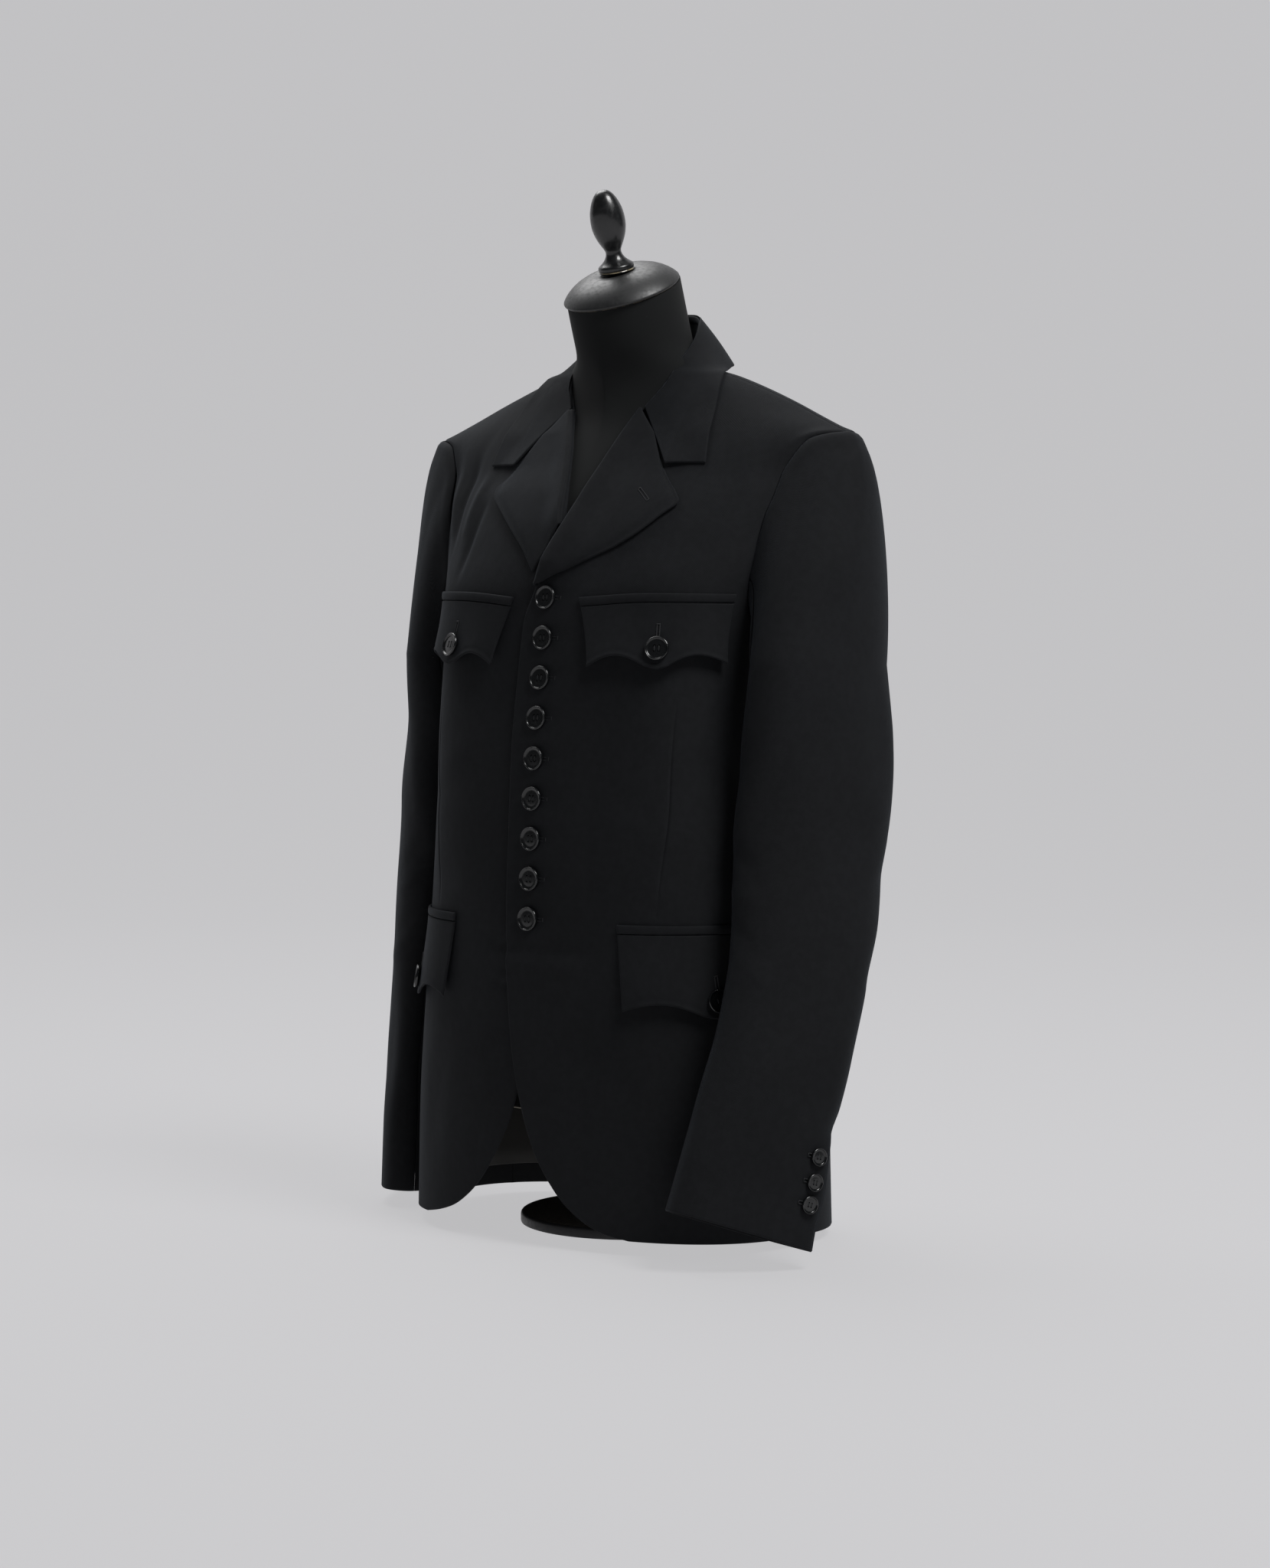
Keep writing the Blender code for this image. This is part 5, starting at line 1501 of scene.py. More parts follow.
@dataclass
class ButtonMaker:
    """A dished button with four holes, modelled once and copied to its places.

    Args:
        radius: Its radius in millimetres.
        thickness: Its thickness in millimetres.
        finish: The button's material.
        thread: The sewing thread's material.
        hole_radius: The holes' radius, as a share of the button's.
        hole_out: How far out from the middle they lie, as a share of it too.
        sides: How many sides its round has.
        strand_out: How far each strand of a stitch lies from the stitch's line, in millimetres.
        strand_radius: The strand's radius in millimetres.
        strand_steps: How many steps a strand has.
        pattern: The modelled button, until all its copies are placed.
    """

    radius: float
    thickness: float
    finish: Material
    thread: Material
    hole_radius: float = 0.11
    hole_out: float = 0.27
    sides: int = 56
    strand_out: float = 0.24
    strand_radius: float = 0.22
    strand_steps: int = 12
    pattern: Optional[Thing] = None

    def make_pattern(self) -> Thing:
        """Models the button, bores its holes and sews two stitches over it."""
        r, t = self.radius, self.thickness
        disc = turned("button_pattern", [(a * r, b * t) for a, b in BUTTON_PROFILE], self.sides, self.finish)
        cutters = []
        for k in range(4):
            turn = math.pi / 4 + k * math.pi / 2
            across, up = math.cos(turn) * self.hole_out * r, math.sin(turn) * self.hole_out * r
            spot = Vector((across, up, 0.5 * t)) * MM
            size = {"radius": self.hole_radius * r * MM, "depth": 2 * t * MM}
            bpy.ops.mesh.primitive_cylinder_add(vertices=14, location=spot, **size)
            cutters.append(bpy.context.object)
        select(*cutters)
        bpy.ops.object.join()
        select(disc)
        bpy.ops.object.modifier_add(type="BOOLEAN")
        bore = disc.modifiers[-1]
        bore.object = cutters[0]
        bore.operation = "DIFFERENCE"
        bpy.ops.object.modifier_apply(modifier=bore.name)
        bpy.data.objects.remove(cutters[0])
        bpy.ops.object.shade_smooth_by_angle(angle=math.radians(SHARP_EDGE))
        self.sew(disc)
        self.pattern = disc
        return disc

    def sew(self, disc: Thing) -> None:
        """Adds the stitches through the four holes to the button's mesh."""
        disc.data.materials.append(self.thread)
        made = bmesh.new()
        made.from_mesh(disc.data)
        r, t = self.radius * MM, self.thickness * MM
        reach = self.hole_out * r * math.sqrt(0.5)
        for side in (-1, 1):
            for strand in (-self.strand_out, self.strand_out):
                rows = []
                for k in range(self.strand_steps + 1):
                    share = k / self.strand_steps
                    y = (share * 2 - 1) * (reach + 0.05 * r)
                    end = 0.4 * t if k in (0, self.strand_steps) else 0.0
                    rise = 0.6 * t + 0.3 * MM * math.sin(math.pi * share) - end
                    x = side * reach + strand * MM * (1.0 - 0.3 * abs(2 * share - 1))
                    rows.append(Vector((x, y, rise)))
                self.tube(made, rows, self.strand_radius * MM)
        made.to_mesh(disc.data)
        made.free()

    @staticmethod
    def tube(made: bmesh.types.BMesh, line: List[Vector], radius: float, sides: int = 6) -> None:
        """Adds a thread along a line to the mesh."""
        rings = []
        for k, point in enumerate(line):
            way = (line[min(k + 1, len(line) - 1)] - line[max(k - 1, 0)]).normalized()
            across = way.cross(Vector((0, 0, 1)) if abs(way.z) < 0.9 else Vector((1, 0, 0))).normalized()
            other = across.cross(way)
            rings.append([made.verts.new(point + radius * (across * math.cos(2 * math.pi * s / sides)
                                                           + other * math.sin(2 * math.pi * s / sides)))
                          for s in range(sides)])
        for low, high in zip(rings, rings[1:]):
            for s in range(sides):
                face = made.faces.new((low[s], low[(s + 1) % sides], high[(s + 1) % sides], high[s]))
                face.material_index = 1
                face.smooth = True
        for end in (rings[0][::-1], rings[-1]):
            face = made.faces.new(end)
            face.material_index = 1

    def put(self, node: str, spot: Vector, out: Vector, up: Vector) -> None:
        """Places a copy of the button.

        Args:
            node: The solid that it stands for.
            spot: Where its back lies.
            out: The way that it faces.
            up: The way of its top.
        """
        pattern = self.pattern or self.make_pattern()
        thing = placed(link(node + "_dished", pattern.data.copy()), standing(spot, out, up))
        LOG.info("%s at %s", thing.name, [round(v, 4) for v in spot])
        wear(thing, "button_black", node)

    def clear(self) -> None:
        """Removes the pattern once all its copies are placed."""
        if self.pattern is not None:
            bpy.data.objects.remove(self.pattern)
            self.pattern = None


@dataclass
class Buttonhole:
    """A worked buttonhole: a slit edged with close stitches, and a bar at its end.

    Args:
        spot: The middle of the slit, on the cloth.
        along: The way of the slit.
        out: The way out of the cloth.
        length: The slit's length in millimetres.
        bar: Whether the far end has a bar tack.
    """

    spot: Vector
    along: Vector
    out: Vector
    length: float
    bar: bool = True

    def add_to(self, made: bmesh.types.BMesh) -> None:
        """Adds the stitched edge to a mesh."""
        z = self.out.normalized()
        x = (self.along - z * self.along.dot(z)).normalized()
        y = z.cross(x)
        half, wide = self.length / 2 * MM, 1.2 * MM
        line = []
        for k in range(72):
            turn = 2 * math.pi * k / 72
            a, b = math.cos(turn), math.sin(turn)
            ahead, aside = max(-1.0, min(a * 1.35, 1.0)), max(-1.0, min(b * 1.6, 1.0))
            stitch = 0.10 * MM * math.cos(k * math.pi)
            line.append(self.spot + x * (half * ahead) + y * ((wide + stitch) * aside)
                        + z * (0.15 * MM + stitch * 0.5))
        line += line[:2]
        ButtonMaker.tube(made, line, 0.42 * MM)
        if self.bar:
            end = self.spot + x * (half + 0.3 * MM)
            bar = [end + y * (s * 1.6 * MM / 3) + z * 0.3 * MM for s in range(-3, 4)]
            ButtonMaker.tube(made, bar, 0.5 * MM)


def stitched(name: str, holes: Sequence[Buttonhole], finish: Material) -> None:
    """Makes one piece of several worked buttonholes."""
    made = bmesh.new()
    for hole in holes:
        hole.add_to(made)
    bmesh.ops.recalc_face_normals(made, faces=made.faces)
    mesh = bpy.data.meshes.new(name)
    made.to_mesh(mesh)
    made.free()
    mesh.materials.append(finish)
    for face in mesh.polygons:
        face.material_index = 0
        face.use_smooth = True
    LOG.info("%s: %d holes", name, len(holes))
    wear(link(name, mesh), "wool_twill")


@dataclass
class DressForm:
    """The limbless form: covered torso, turned cap and finial, pole and base."""

    cap_radius: float = 50.0
    cap_centre: Triple = (0.0, -14.4, 815.5)
    cap_tilt: float = 23.5
    cap_height: float = 15.0
    finial_lean: float = 16.7
    finial_lift: float = -0.8
    neck_line: float = 748.0
    neck_root: float = 738.0
    edge_round: float = 1.3
    edge_reach: float = 2.2
    base_radius: float = 95.0
    base_thickness: float = 10.0
    pole_radius: float = 15.0
    fit: float = 0.3
    torso_bottom: float = 132.0

    def torso(self, finish: Material) -> None:
        """Builds the covered torso and neck."""
        top = FORM_RINGS[-1][0]
        edge = self.torso_bottom + np.array([0, 0.3, 1.0, self.edge_reach])
        dense = 690.0
        body, neck = np.arange(self.torso_bottom + 6, dense, 8.0), np.arange(dense, top - 1, 3.0)
        heights = np.concatenate([edge, body, neck, [top - 1, top]])
        turn = np.radians(np.linspace(0, 360, 128, endpoint=False))
        high = heights[:, None]
        ring = ring_sizes(columns(FORM_RINGS, RING_COLUMNS), high)
        round_off = self.edge_round * np.maximum(0.0, 1 - (high - self.torso_bottom) / self.edge_reach) ** 2
        side, behind = ring_place(ring, turn, round_off)
        tilt = math.radians(self.cap_tilt) * np.maximum(0.0, high - self.neck_line) / (top - self.neck_line)
        points = [side, ring["centre"] + behind * np.cos(tilt), high + behind * np.sin(tilt)]
        points = np.stack(points, -1) * MM
        weight = (bell(heights - self.neck_root, 26.0) * 0.5)[1:-1, None, None]
        for _ in range(SMOOTHINGS):
            points[1:-1] += ((points[:-2] + points[2:]) / 2 - points[1:-1]) * weight
        points[..., 2] -= FLOOR_LINE * MM
        count = len(turn)
        index = np.arange(points.shape[0] * count).reshape(-1, count)
        after = np.roll(index, -1, axis=1)
        faces = np.stack([index[:-1], after[:-1], after[1:], index[1:]], -1).reshape(-1, 4).tolist()
        faces += [index[0][::-1].tolist(), index[-1].tolist()]
        thing = built("form_torso_covered", points.reshape(-1, 3).tolist(), faces, finish)
        select(thing)
        bpy.ops.object.shade_smooth_by_angle(angle=math.radians(50))
        wear(thing, "form_cloth", "form_torso")

    def top(self, cap_finish: Material, finish: Material) -> None:
        """Builds the wooden cap and the finial on it."""
        cap = [(share * self.cap_radius, height) for share, height in CAP_PROFILE]
        rim = Vector(self.cap_centre) - Vector((0, 0, FLOOR_LINE))
        tilt = Matrix.Rotation(math.radians(self.cap_tilt), 4, "X")
        dome = placed(turned("form_cap_turned", cap, 96, cap_finish), Matrix.Translation(rim * MM) @ tilt)
        wear(dome, "wood_black", "form_cap")
        rise = self.cap_height + self.finial_lift
        foot = rim + tilt.to_3x3() @ Vector((0, 0, rise))
        lean = Matrix.Rotation(math.radians(self.finial_lean), 4, "X")
        bulb = smooth_profile([FINIAL_FOOT[-1], *FINIAL_BULB], 1.6)
        finial = turned("form_finial_turned", [*FINIAL_FOOT, *bulb[1:]], 64, finish)
        wear(placed(finial, Matrix.Translation(foot * MM) @ lean), "wood_black", "form_finial")

    def stand(self, finish: Material) -> None:
        """Builds the base on the floor and the pole."""
        r, t = self.base_radius, self.base_thickness
        base = [(r - 1.5, 0), (r - 0.4, 0.4), (r, 1.5), (r, t - 3), (r - 0.3, t - 1.9), (r - 1, t - 0.9),
                (r - 2, t - 0.25), (r - 3.2, t), (self.pole_radius + 6, t)]
        wear(turned("form_base_turned", base, 128, finish), "stand_black", "form_base")
        low, high = t + self.fit, self.torso_bottom - FLOOR_LINE - self.fit
        pole = [(self.pole_radius, low), (self.pole_radius, high)]
        wear(turned("form_pole_turned", pole, 48, finish), "stand_black", "form_pole")


@dataclass
class Lining:
    """The lining inside the skirt."""

    rows: Tuple[float, float] = (52.0, 260.0)
    angles: Tuple[float, float] = (179.85, 84.0)
    wall: float = 1.0 * MM
    depth: float = 2.55 * MM

    def build(self, side: Side, finish: Material) -> None:
        """Builds one side, with a soft ease pleat above its hem."""
        low, high = self.rows
        height = (low + (high - low) * spaced(high - low, 5.0))[:, None]
        u = spaced(330, 5.0)[None, :]
        angle = self.angles[0] + (self.angles[1] - self.angles[0]) * u
        place, out = body_place(angle, height)
        slack = 0.7 * MM * bell(height - low - 9, 6) + 0.5 * MM * np.sin(angle / 7.3 + height / 60.0) ** 2
        slack = slack * ease((height - low) / 20.0 + 0.3)
        place, out = mirrored(place - out * (self.depth + slack)[..., None], side), mirrored(out, side)
        Cloth("lining_" + side.label, place, out, self.wall, ("first",)).make(finish, slot="lining_brown")


class Graph:
    """A node tree, with short ways to add and join its nodes."""

    def __init__(self, tree: Tree) -> None:
        """Starts from a tree with no nodes.

        Args:
            tree: The tree to fill.
        """
        self.tree = tree
        tree.nodes.clear()

    def add(self, kind: str, **settings: object) -> Node:
        """Adds a node and sets its properties."""
        node = self.tree.nodes.new(kind)
        for key, value in settings.items():
            setattr(node, key, value)
        return node

    def feed(self, node: Node, values: Dict[object, object]) -> Node:
        """Gives values or sockets to a node's inputs, by name or number."""
        for label, value in values.items():
            if isinstance(value, Socket):
                self.tree.links.new(value, node.inputs[label])
            else:
                node.inputs[label].default_value = value
        return node

    def math(self, operation: str, *values: object, clamp: bool = False) -> Socket:
        """Works out a value from others."""
        node = self.add("ShaderNodeMath", operation=operation, use_clamp=clamp)
        return self.feed(node, dict(enumerate(values))).outputs[0]

    def times(self, first: object, *others: object) -> Socket:
        """Multiplies values."""
        for other in others:
            first = self.math("MULTIPLY", first, other)
        return first

    def parts(self, vector: Socket) -> Sockets:
        """The three parts of a vector."""
        return self.feed(self.add("ShaderNodeSeparateXYZ"), {0: vector}).outputs

    def span(self, value: object, low: float, high: float, to_low: float = 0.0,
             to_high: float = 1.0) -> Socket:
        """Maps a value from one span to another, held at the ends."""
        node = self.add("ShaderNodeMapRange", clamp=True, interpolation_type="SMOOTHSTEP")
        return self.feed(node, dict(enumerate((value, low, high, to_low, to_high)))).outputs[0]

    def noise(self, vector: object, scale: float, detail: float = 3.0, rough: float = 0.5) -> Node:
        """Adds a noise texture."""
        node = self.add("ShaderNodeTexNoise", noise_dimensions="3D")
        return self.feed(node, {"Vector": vector, "Scale": scale, "Detail": detail, "Roughness": rough})

    def blend(self, share: object, a: object, b: object) -> Socket:
        """Mixes two colours."""
        return self.feed(self.add("ShaderNodeMix", data_type="RGBA"), {0: share, 6: a, 7: b}).outputs[2]

    def toned(self, base: Triple, tone: Socket) -> Socket:
        """A colour made lighter or darker by a tone."""
        node = self.add("ShaderNodeVectorMath", operation="SCALE")
        return self.feed(node, {0: base, "Scale": tone}).outputs[0]


def effect(name: str, inputs: Dict[str, str], outputs: Dict[str, str]) -> Tuple[Graph, Sockets, Node]:
    """Starts a shared node group.

    Args:
        name: The group's name.
        inputs: Socket kinds by name.
        outputs: Socket kinds by name.

    Returns:
        The graph, what its input node gives and its output node.
    """
    tree = bpy.data.node_groups.new(name, "ShaderNodeTree")
    for way, sockets in (("INPUT", inputs), ("OUTPUT", outputs)):
        for label, kind in sockets.items():
            tree.interface.new_socket(label, in_out=way, socket_type="NodeSocket" + kind)
    graph = Graph(tree)
    return graph, graph.add("NodeGroupInput").outputs, graph.add("NodeGroupOutput")


def twill_effect() -> Tree:
    """Fine diagonal ribs of a worsted twill: a height and a tone."""
    graph, given, made = effect("twill_weave", {"Map": "Vector", "Pitch": "Float"},
                                {"Height": "Float", "Tone": "Float"})
    across, along, _ = graph.parts(given["Map"])
    wander = graph.noise(given["Map"], 420.0, 2.0)
    slant = graph.math("ADD", across, graph.times(along, 1.15))
    slant = graph.math("ADD", slant, graph.times(wander.outputs[0], 0.00025))
    turns = graph.times(graph.math("DIVIDE", slant, given["Pitch"]), 2 * math.pi)
    rib = graph.math("MULTIPLY_ADD", graph.math("SINE", turns), 0.5, 0.5)
    turns = graph.times(graph.math("DIVIDE", along, given["Pitch"]), 4 * math.pi)
    yarn = graph.math("MULTIPLY_ADD", graph.math("SINE", turns), 0.25, 0.5)
    fibre = graph.noise(given["Map"], 5200.0, 2.0, 0.6)
    height = graph.math("ADD", graph.times(rib, yarn), graph.times(fibre.outputs[0], 0.35))
    graph.feed(made, {"Height": height, "Tone": graph.span(height, 0.1, 0.9, 0.86, 1.12)})
    return graph.tree


def mottle_effect() -> Tree:
    """Soft unevenness of colour and nap, coarse and fine."""
    graph, given, made = effect("mottle", {"Map": "Vector"},
                                {"Coarse": "Float", "Fine": "Float", "Puckers": "Float"})
    coarse = graph.noise(given["Map"], 9.0, 4.0, 0.55)
    fine = graph.noise(given["Map"], 160.0, 3.0, 0.6)
    stretch = graph.add("ShaderNodeMapping")
    graph.feed(stretch, {"Vector": given["Map"], "Scale": (34.0, 15.0, 24.0)})
    puckers = graph.noise(stretch.outputs[0], 1.0, 2.5, 0.5)
    graph.feed(made, {"Coarse": graph.span(coarse.outputs[0], 0.3, 0.7),
                      "Fine": graph.span(fine.outputs[0], 0.3, 0.7), "Puckers": puckers.outputs[0]})
    return graph.tree


def lint_effect() -> Tree:
    """Sparse specks of dust on dark cloth."""
    graph, given, made = effect("lint_specks", {"Map": "Vector"}, {"Mask": "Float"})
    bend = graph.noise(given["Map"], 900.0, 1.0)
    place = graph.add("ShaderNodeVectorMath", operation="MULTIPLY_ADD")
    graph.feed(place, {0: bend.outputs[1], 1: (0.0012, 0.0012, 0.0012), 2: given["Map"]})
    cells = graph.add("ShaderNodeTexVoronoi", feature="F1")
    graph.feed(cells, {"Scale": 46.0, "Vector": place.outputs[0]})
    split = graph.feed(graph.add("ShaderNodeSeparateColor"), {0: cells.outputs["Color"]})
    chosen = graph.span(split.outputs[0], 0.86, 0.9)
    speck = graph.span(cells.outputs["Distance"], 0.012, 0.026, 1.0, 0.0)
    graph.feed(made, {"Mask": graph.times(chosen, speck)})
    return graph.tree


def band_effect() -> Tree:
    """A ragged band between two places along a turned profile, where a pale colour is laid."""
    inputs = {"Along": "Float", "Place": "Float", "Width": "Float", "Map": "Vector"}
    graph, given, made = effect("pale_band", inputs, {"Mask": "Float"})
    ragged = graph.noise(given["Map"], 230.0, 4.0, 0.65)
    off = graph.math("ABSOLUTE", graph.math("SUBTRACT", given["Along"], given["Place"]))
    line = graph.math("SUBTRACT", 1.0, graph.math("DIVIDE", off, given["Width"]), clamp=True)
    graph.feed(made, {"Mask": graph.times(line, graph.span(ragged.outputs[0], 0.38, 0.6))})
    return graph.tree


@dataclass(frozen=True)
class Effects:
    """The shared node groups."""

    twill: Tree
    mottle: Tree
    lint: Tree
    band: Tree

    @staticmethod
    def make() -> "Effects":
        """Builds the groups."""
        return Effects(twill_effect(), mottle_effect(), lint_effect(), band_effect())


def start_finish(name: str) -> Tuple[Material, Graph, Node]:
    """A material with an empty graph, a Principled shader and its output."""
    made = bpy.data.materials.new(name)
    made.use_nodes = True
    graph = Graph(made.node_tree)
    shader = graph.add("ShaderNodeBsdfPrincipled")
    graph.feed(graph.add("ShaderNodeOutputMaterial"), {0: shader.outputs[0]})
    return made, graph, shader


def use_effect(graph: Graph, tree: Tree, **given: object) -> Node:
    """Adds a shared group and feeds it."""
    return graph.feed(graph.add("ShaderNodeGroup", node_tree=tree), given)


def scaled(colour: Triple, share: float) -> Tuple[float, ...]:
    """A colour made lighter or darker, with its alpha."""
    return (*[value * share for value in colour], 1.0)


def map_socket(graph: Graph, layer: str) -> Socket:
    """The named map of the mesh, or its object coordinates."""
    if layer:
        return graph.add("ShaderNodeUVMap", uv_map=layer).outputs[0]
    return graph.add("ShaderNodeTexCoord").outputs["Object"]


def relief(graph: Graph, shader: Node, rows: Sequence[Tuple[Socket, float, float]]) -> None:
    """Chains bumps, each a height, a strength and a depth in metres, into the shader's normal."""
    normal = {}
    for height, strength, depth in rows:
        values = {"Height": height, "Strength": strength, "Distance": depth, **normal}
        normal = {"Normal": graph.feed(graph.add("ShaderNodeBump"), values).outputs[0]}
    graph.feed(shader, normal)


@dataclass(frozen=True)
class ClothFinish:
    """The looks of a cloth.

    Args:
        name: The material's name.
        base: Its colour.
        roughness: The Principled roughness.
        sheen: How strongly its nap catches the light.
        sheen_roughness: How wide the nap's sheen is.
        sheen_tint: The sheen's colour.
        specular: The specular level.
        pitch: The spacing of its ribs in metres.
        rib: How deep its ribs are in metres.
        pucker: How deep its small unevenness is in metres.
        lint: How strongly specks of dust show.
        dust: The colour of the dust.
    """

    name: str
    base: Triple
    roughness: float
    sheen: float
    sheen_roughness: float
    sheen_tint: Triple
    specular: float
    pitch: float
    rib: float
    pucker: float
    lint: float
    dust: Tuple[float, ...] = (0.16, 0.155, 0.145, 1.0)

    def make(self, effects: Effects) -> Material:
        """Builds the material."""
        made, graph, shader = start_finish(self.name)
        flat = map_socket(graph, "cloth")
        space = map_socket(graph, "")
        weave = use_effect(graph, effects.twill, Map=flat, Pitch=self.pitch)
        mottle = use_effect(graph, effects.mottle, Map=space)
        dust = use_effect(graph, effects.lint, Map=space)
        tone = graph.times(graph.span(mottle.outputs["Coarse"], 0.0, 1.0, 0.9, 1.1),
                           graph.span(mottle.outputs["Fine"], 0.0, 1.0, 0.93, 1.07), weave.outputs["Tone"])
        share = graph.times(dust.outputs["Mask"], self.lint)
        colour = graph.blend(share, graph.toned(self.base, tone), self.dust)
        graph.feed(shader, {"Base Color": colour, "Roughness": self.roughness,
                            "Specular IOR Level": self.specular, "Sheen Weight": self.sheen,
                            "Sheen Roughness": self.sheen_roughness, "Sheen Tint": (*self.sheen_tint, 1.0)})
        relief(graph, shader, [(mottle.outputs["Puckers"], 0.6, self.pucker),
                               (weave.outputs["Height"], 0.7, self.rib)])
        return made


@dataclass(frozen=True)
class FormFinish:
    """The stretched black cover of the form, pale along its lower edge."""

    name: str = "form_cover"
    base: Triple = (0.0078, 0.0085, 0.0088)
    edge: Triple = (0.30, 0.27, 0.22)
    edge_height: float = 0.1064

    def make(self, effects: Effects) -> Material:
        """Builds the material."""
        made, graph, shader = start_finish(self.name)
        space = map_socket(graph, "")
        mottle = use_effect(graph, effects.mottle, Map=space)
        dust = use_effect(graph, effects.lint, Map=space)
        knit = graph.noise(space, 2600.0, 2.0, 0.6)
        tone = graph.span(mottle.outputs["Coarse"], 0.0, 1.0, 0.88, 1.12)
        pale = graph.span(graph.parts(space)[2], self.edge_height, self.edge_height + 0.0012, 1.0, 0.0)
        pale_edge = graph.times(pale, graph.span(mottle.outputs["Fine"], 0.0, 0.6, 0.5, 1.0))
        share = graph.times(dust.outputs["Mask"], 0.25)
        body = graph.blend(share, graph.toned(self.base, tone), (0.12, 0.12, 0.11, 1.0))
        graph.feed(shader, {"Base Color": graph.blend(pale_edge, body, (*self.edge, 1.0)), "Roughness": 0.92,
                            "Specular IOR Level": 0.22, "Sheen Weight": 0.04, "Sheen Roughness": 0.5})
        relief(graph, shader, [(mottle.outputs["Puckers"], 0.3, 0.0008), (knit.outputs[0], 0.5, 0.00012)])
        return made


@dataclass(frozen=True)
class HardFinish:
    """The looks of a hard, turned piece.

    Args:
        name: The material's name.
        base: Its colour.
        roughness: How matt it is.
        coat: The weight of a clear coat over it.
        coat_roughness: How matt the coat is.
        metallic: Whether it is metal.
        pale_edge: The colour of its pale bands.
        bands: Pale bands along its profile: place, width and strength.
        scuff: How strongly small scuffs dull it.
    """

    name: str
    base: Triple
    roughness: float
    coat: float = 0.0
    coat_roughness: float = 0.2
    metallic: float = 0.0
    pale_edge: Triple = (0.2, 0.16, 0.1)
    bands: Tuple[Triple, ...] = ()
    scuff: float = 0.1

    def make(self, effects: Effects) -> Material:
        """Builds the material."""
        made, graph, shader = start_finish(self.name)
        space = map_socket(graph, "")
        flat = map_socket(graph, "turned")
        mottle = use_effect(graph, effects.mottle, Map=space)
        colour = graph.blend(mottle.outputs["Coarse"], scaled(self.base, 0.85), scaled(self.base, 1.2))
        along = graph.parts(flat)[1]
        for place, width, strength in self.bands:
            band = use_effect(graph, effects.band, Along=along, Place=place, Width=width, Map=space)
            share = graph.math("MULTIPLY", band.outputs[0], strength, clamp=True)
            colour = graph.blend(share, colour, (*self.pale_edge, 1.0))
        scuffs = graph.noise(space, 320.0, 5.0, 0.7)
        dull = graph.span(scuffs.outputs[0], 0.42, 0.66, self.roughness, self.roughness + self.scuff)
        graph.feed(shader, {"Base Color": colour, "Roughness": dull, "Metallic": self.metallic,
                            "Coat Weight": self.coat, "Coat Roughness": self.coat_roughness})
        relief(graph, shader, [(scuffs.outputs[0], 0.25, 0.0001)])
        return made


@dataclass(frozen=True)
class PlainFinish:
    """The looks of a thread or of the studio's paper."""

    name: str
    base: Triple
    roughness: float
    grain: float
    grain_scale: float
    glow: float = 0.0

    def make(self) -> Material:
        """Builds the material."""
        made, graph, shader = start_finish(self.name)
        space = map_socket(graph, "")
        grain = graph.noise(space, self.grain_scale, 3.0, 0.6)
        colour = graph.blend(grain.outputs[0], scaled(self.base, 0.97), scaled(self.base, 1.03))
        graph.feed(shader, {"Base Color": colour, "Roughness": self.roughness, "Specular IOR Level": 0.2,
                            "Emission Color": (0.985, 0.98, 1.0, 1.0), "Emission Strength": self.glow})
        relief(graph, shader, [(grain.outputs[0], 0.3, self.grain)])
        return made


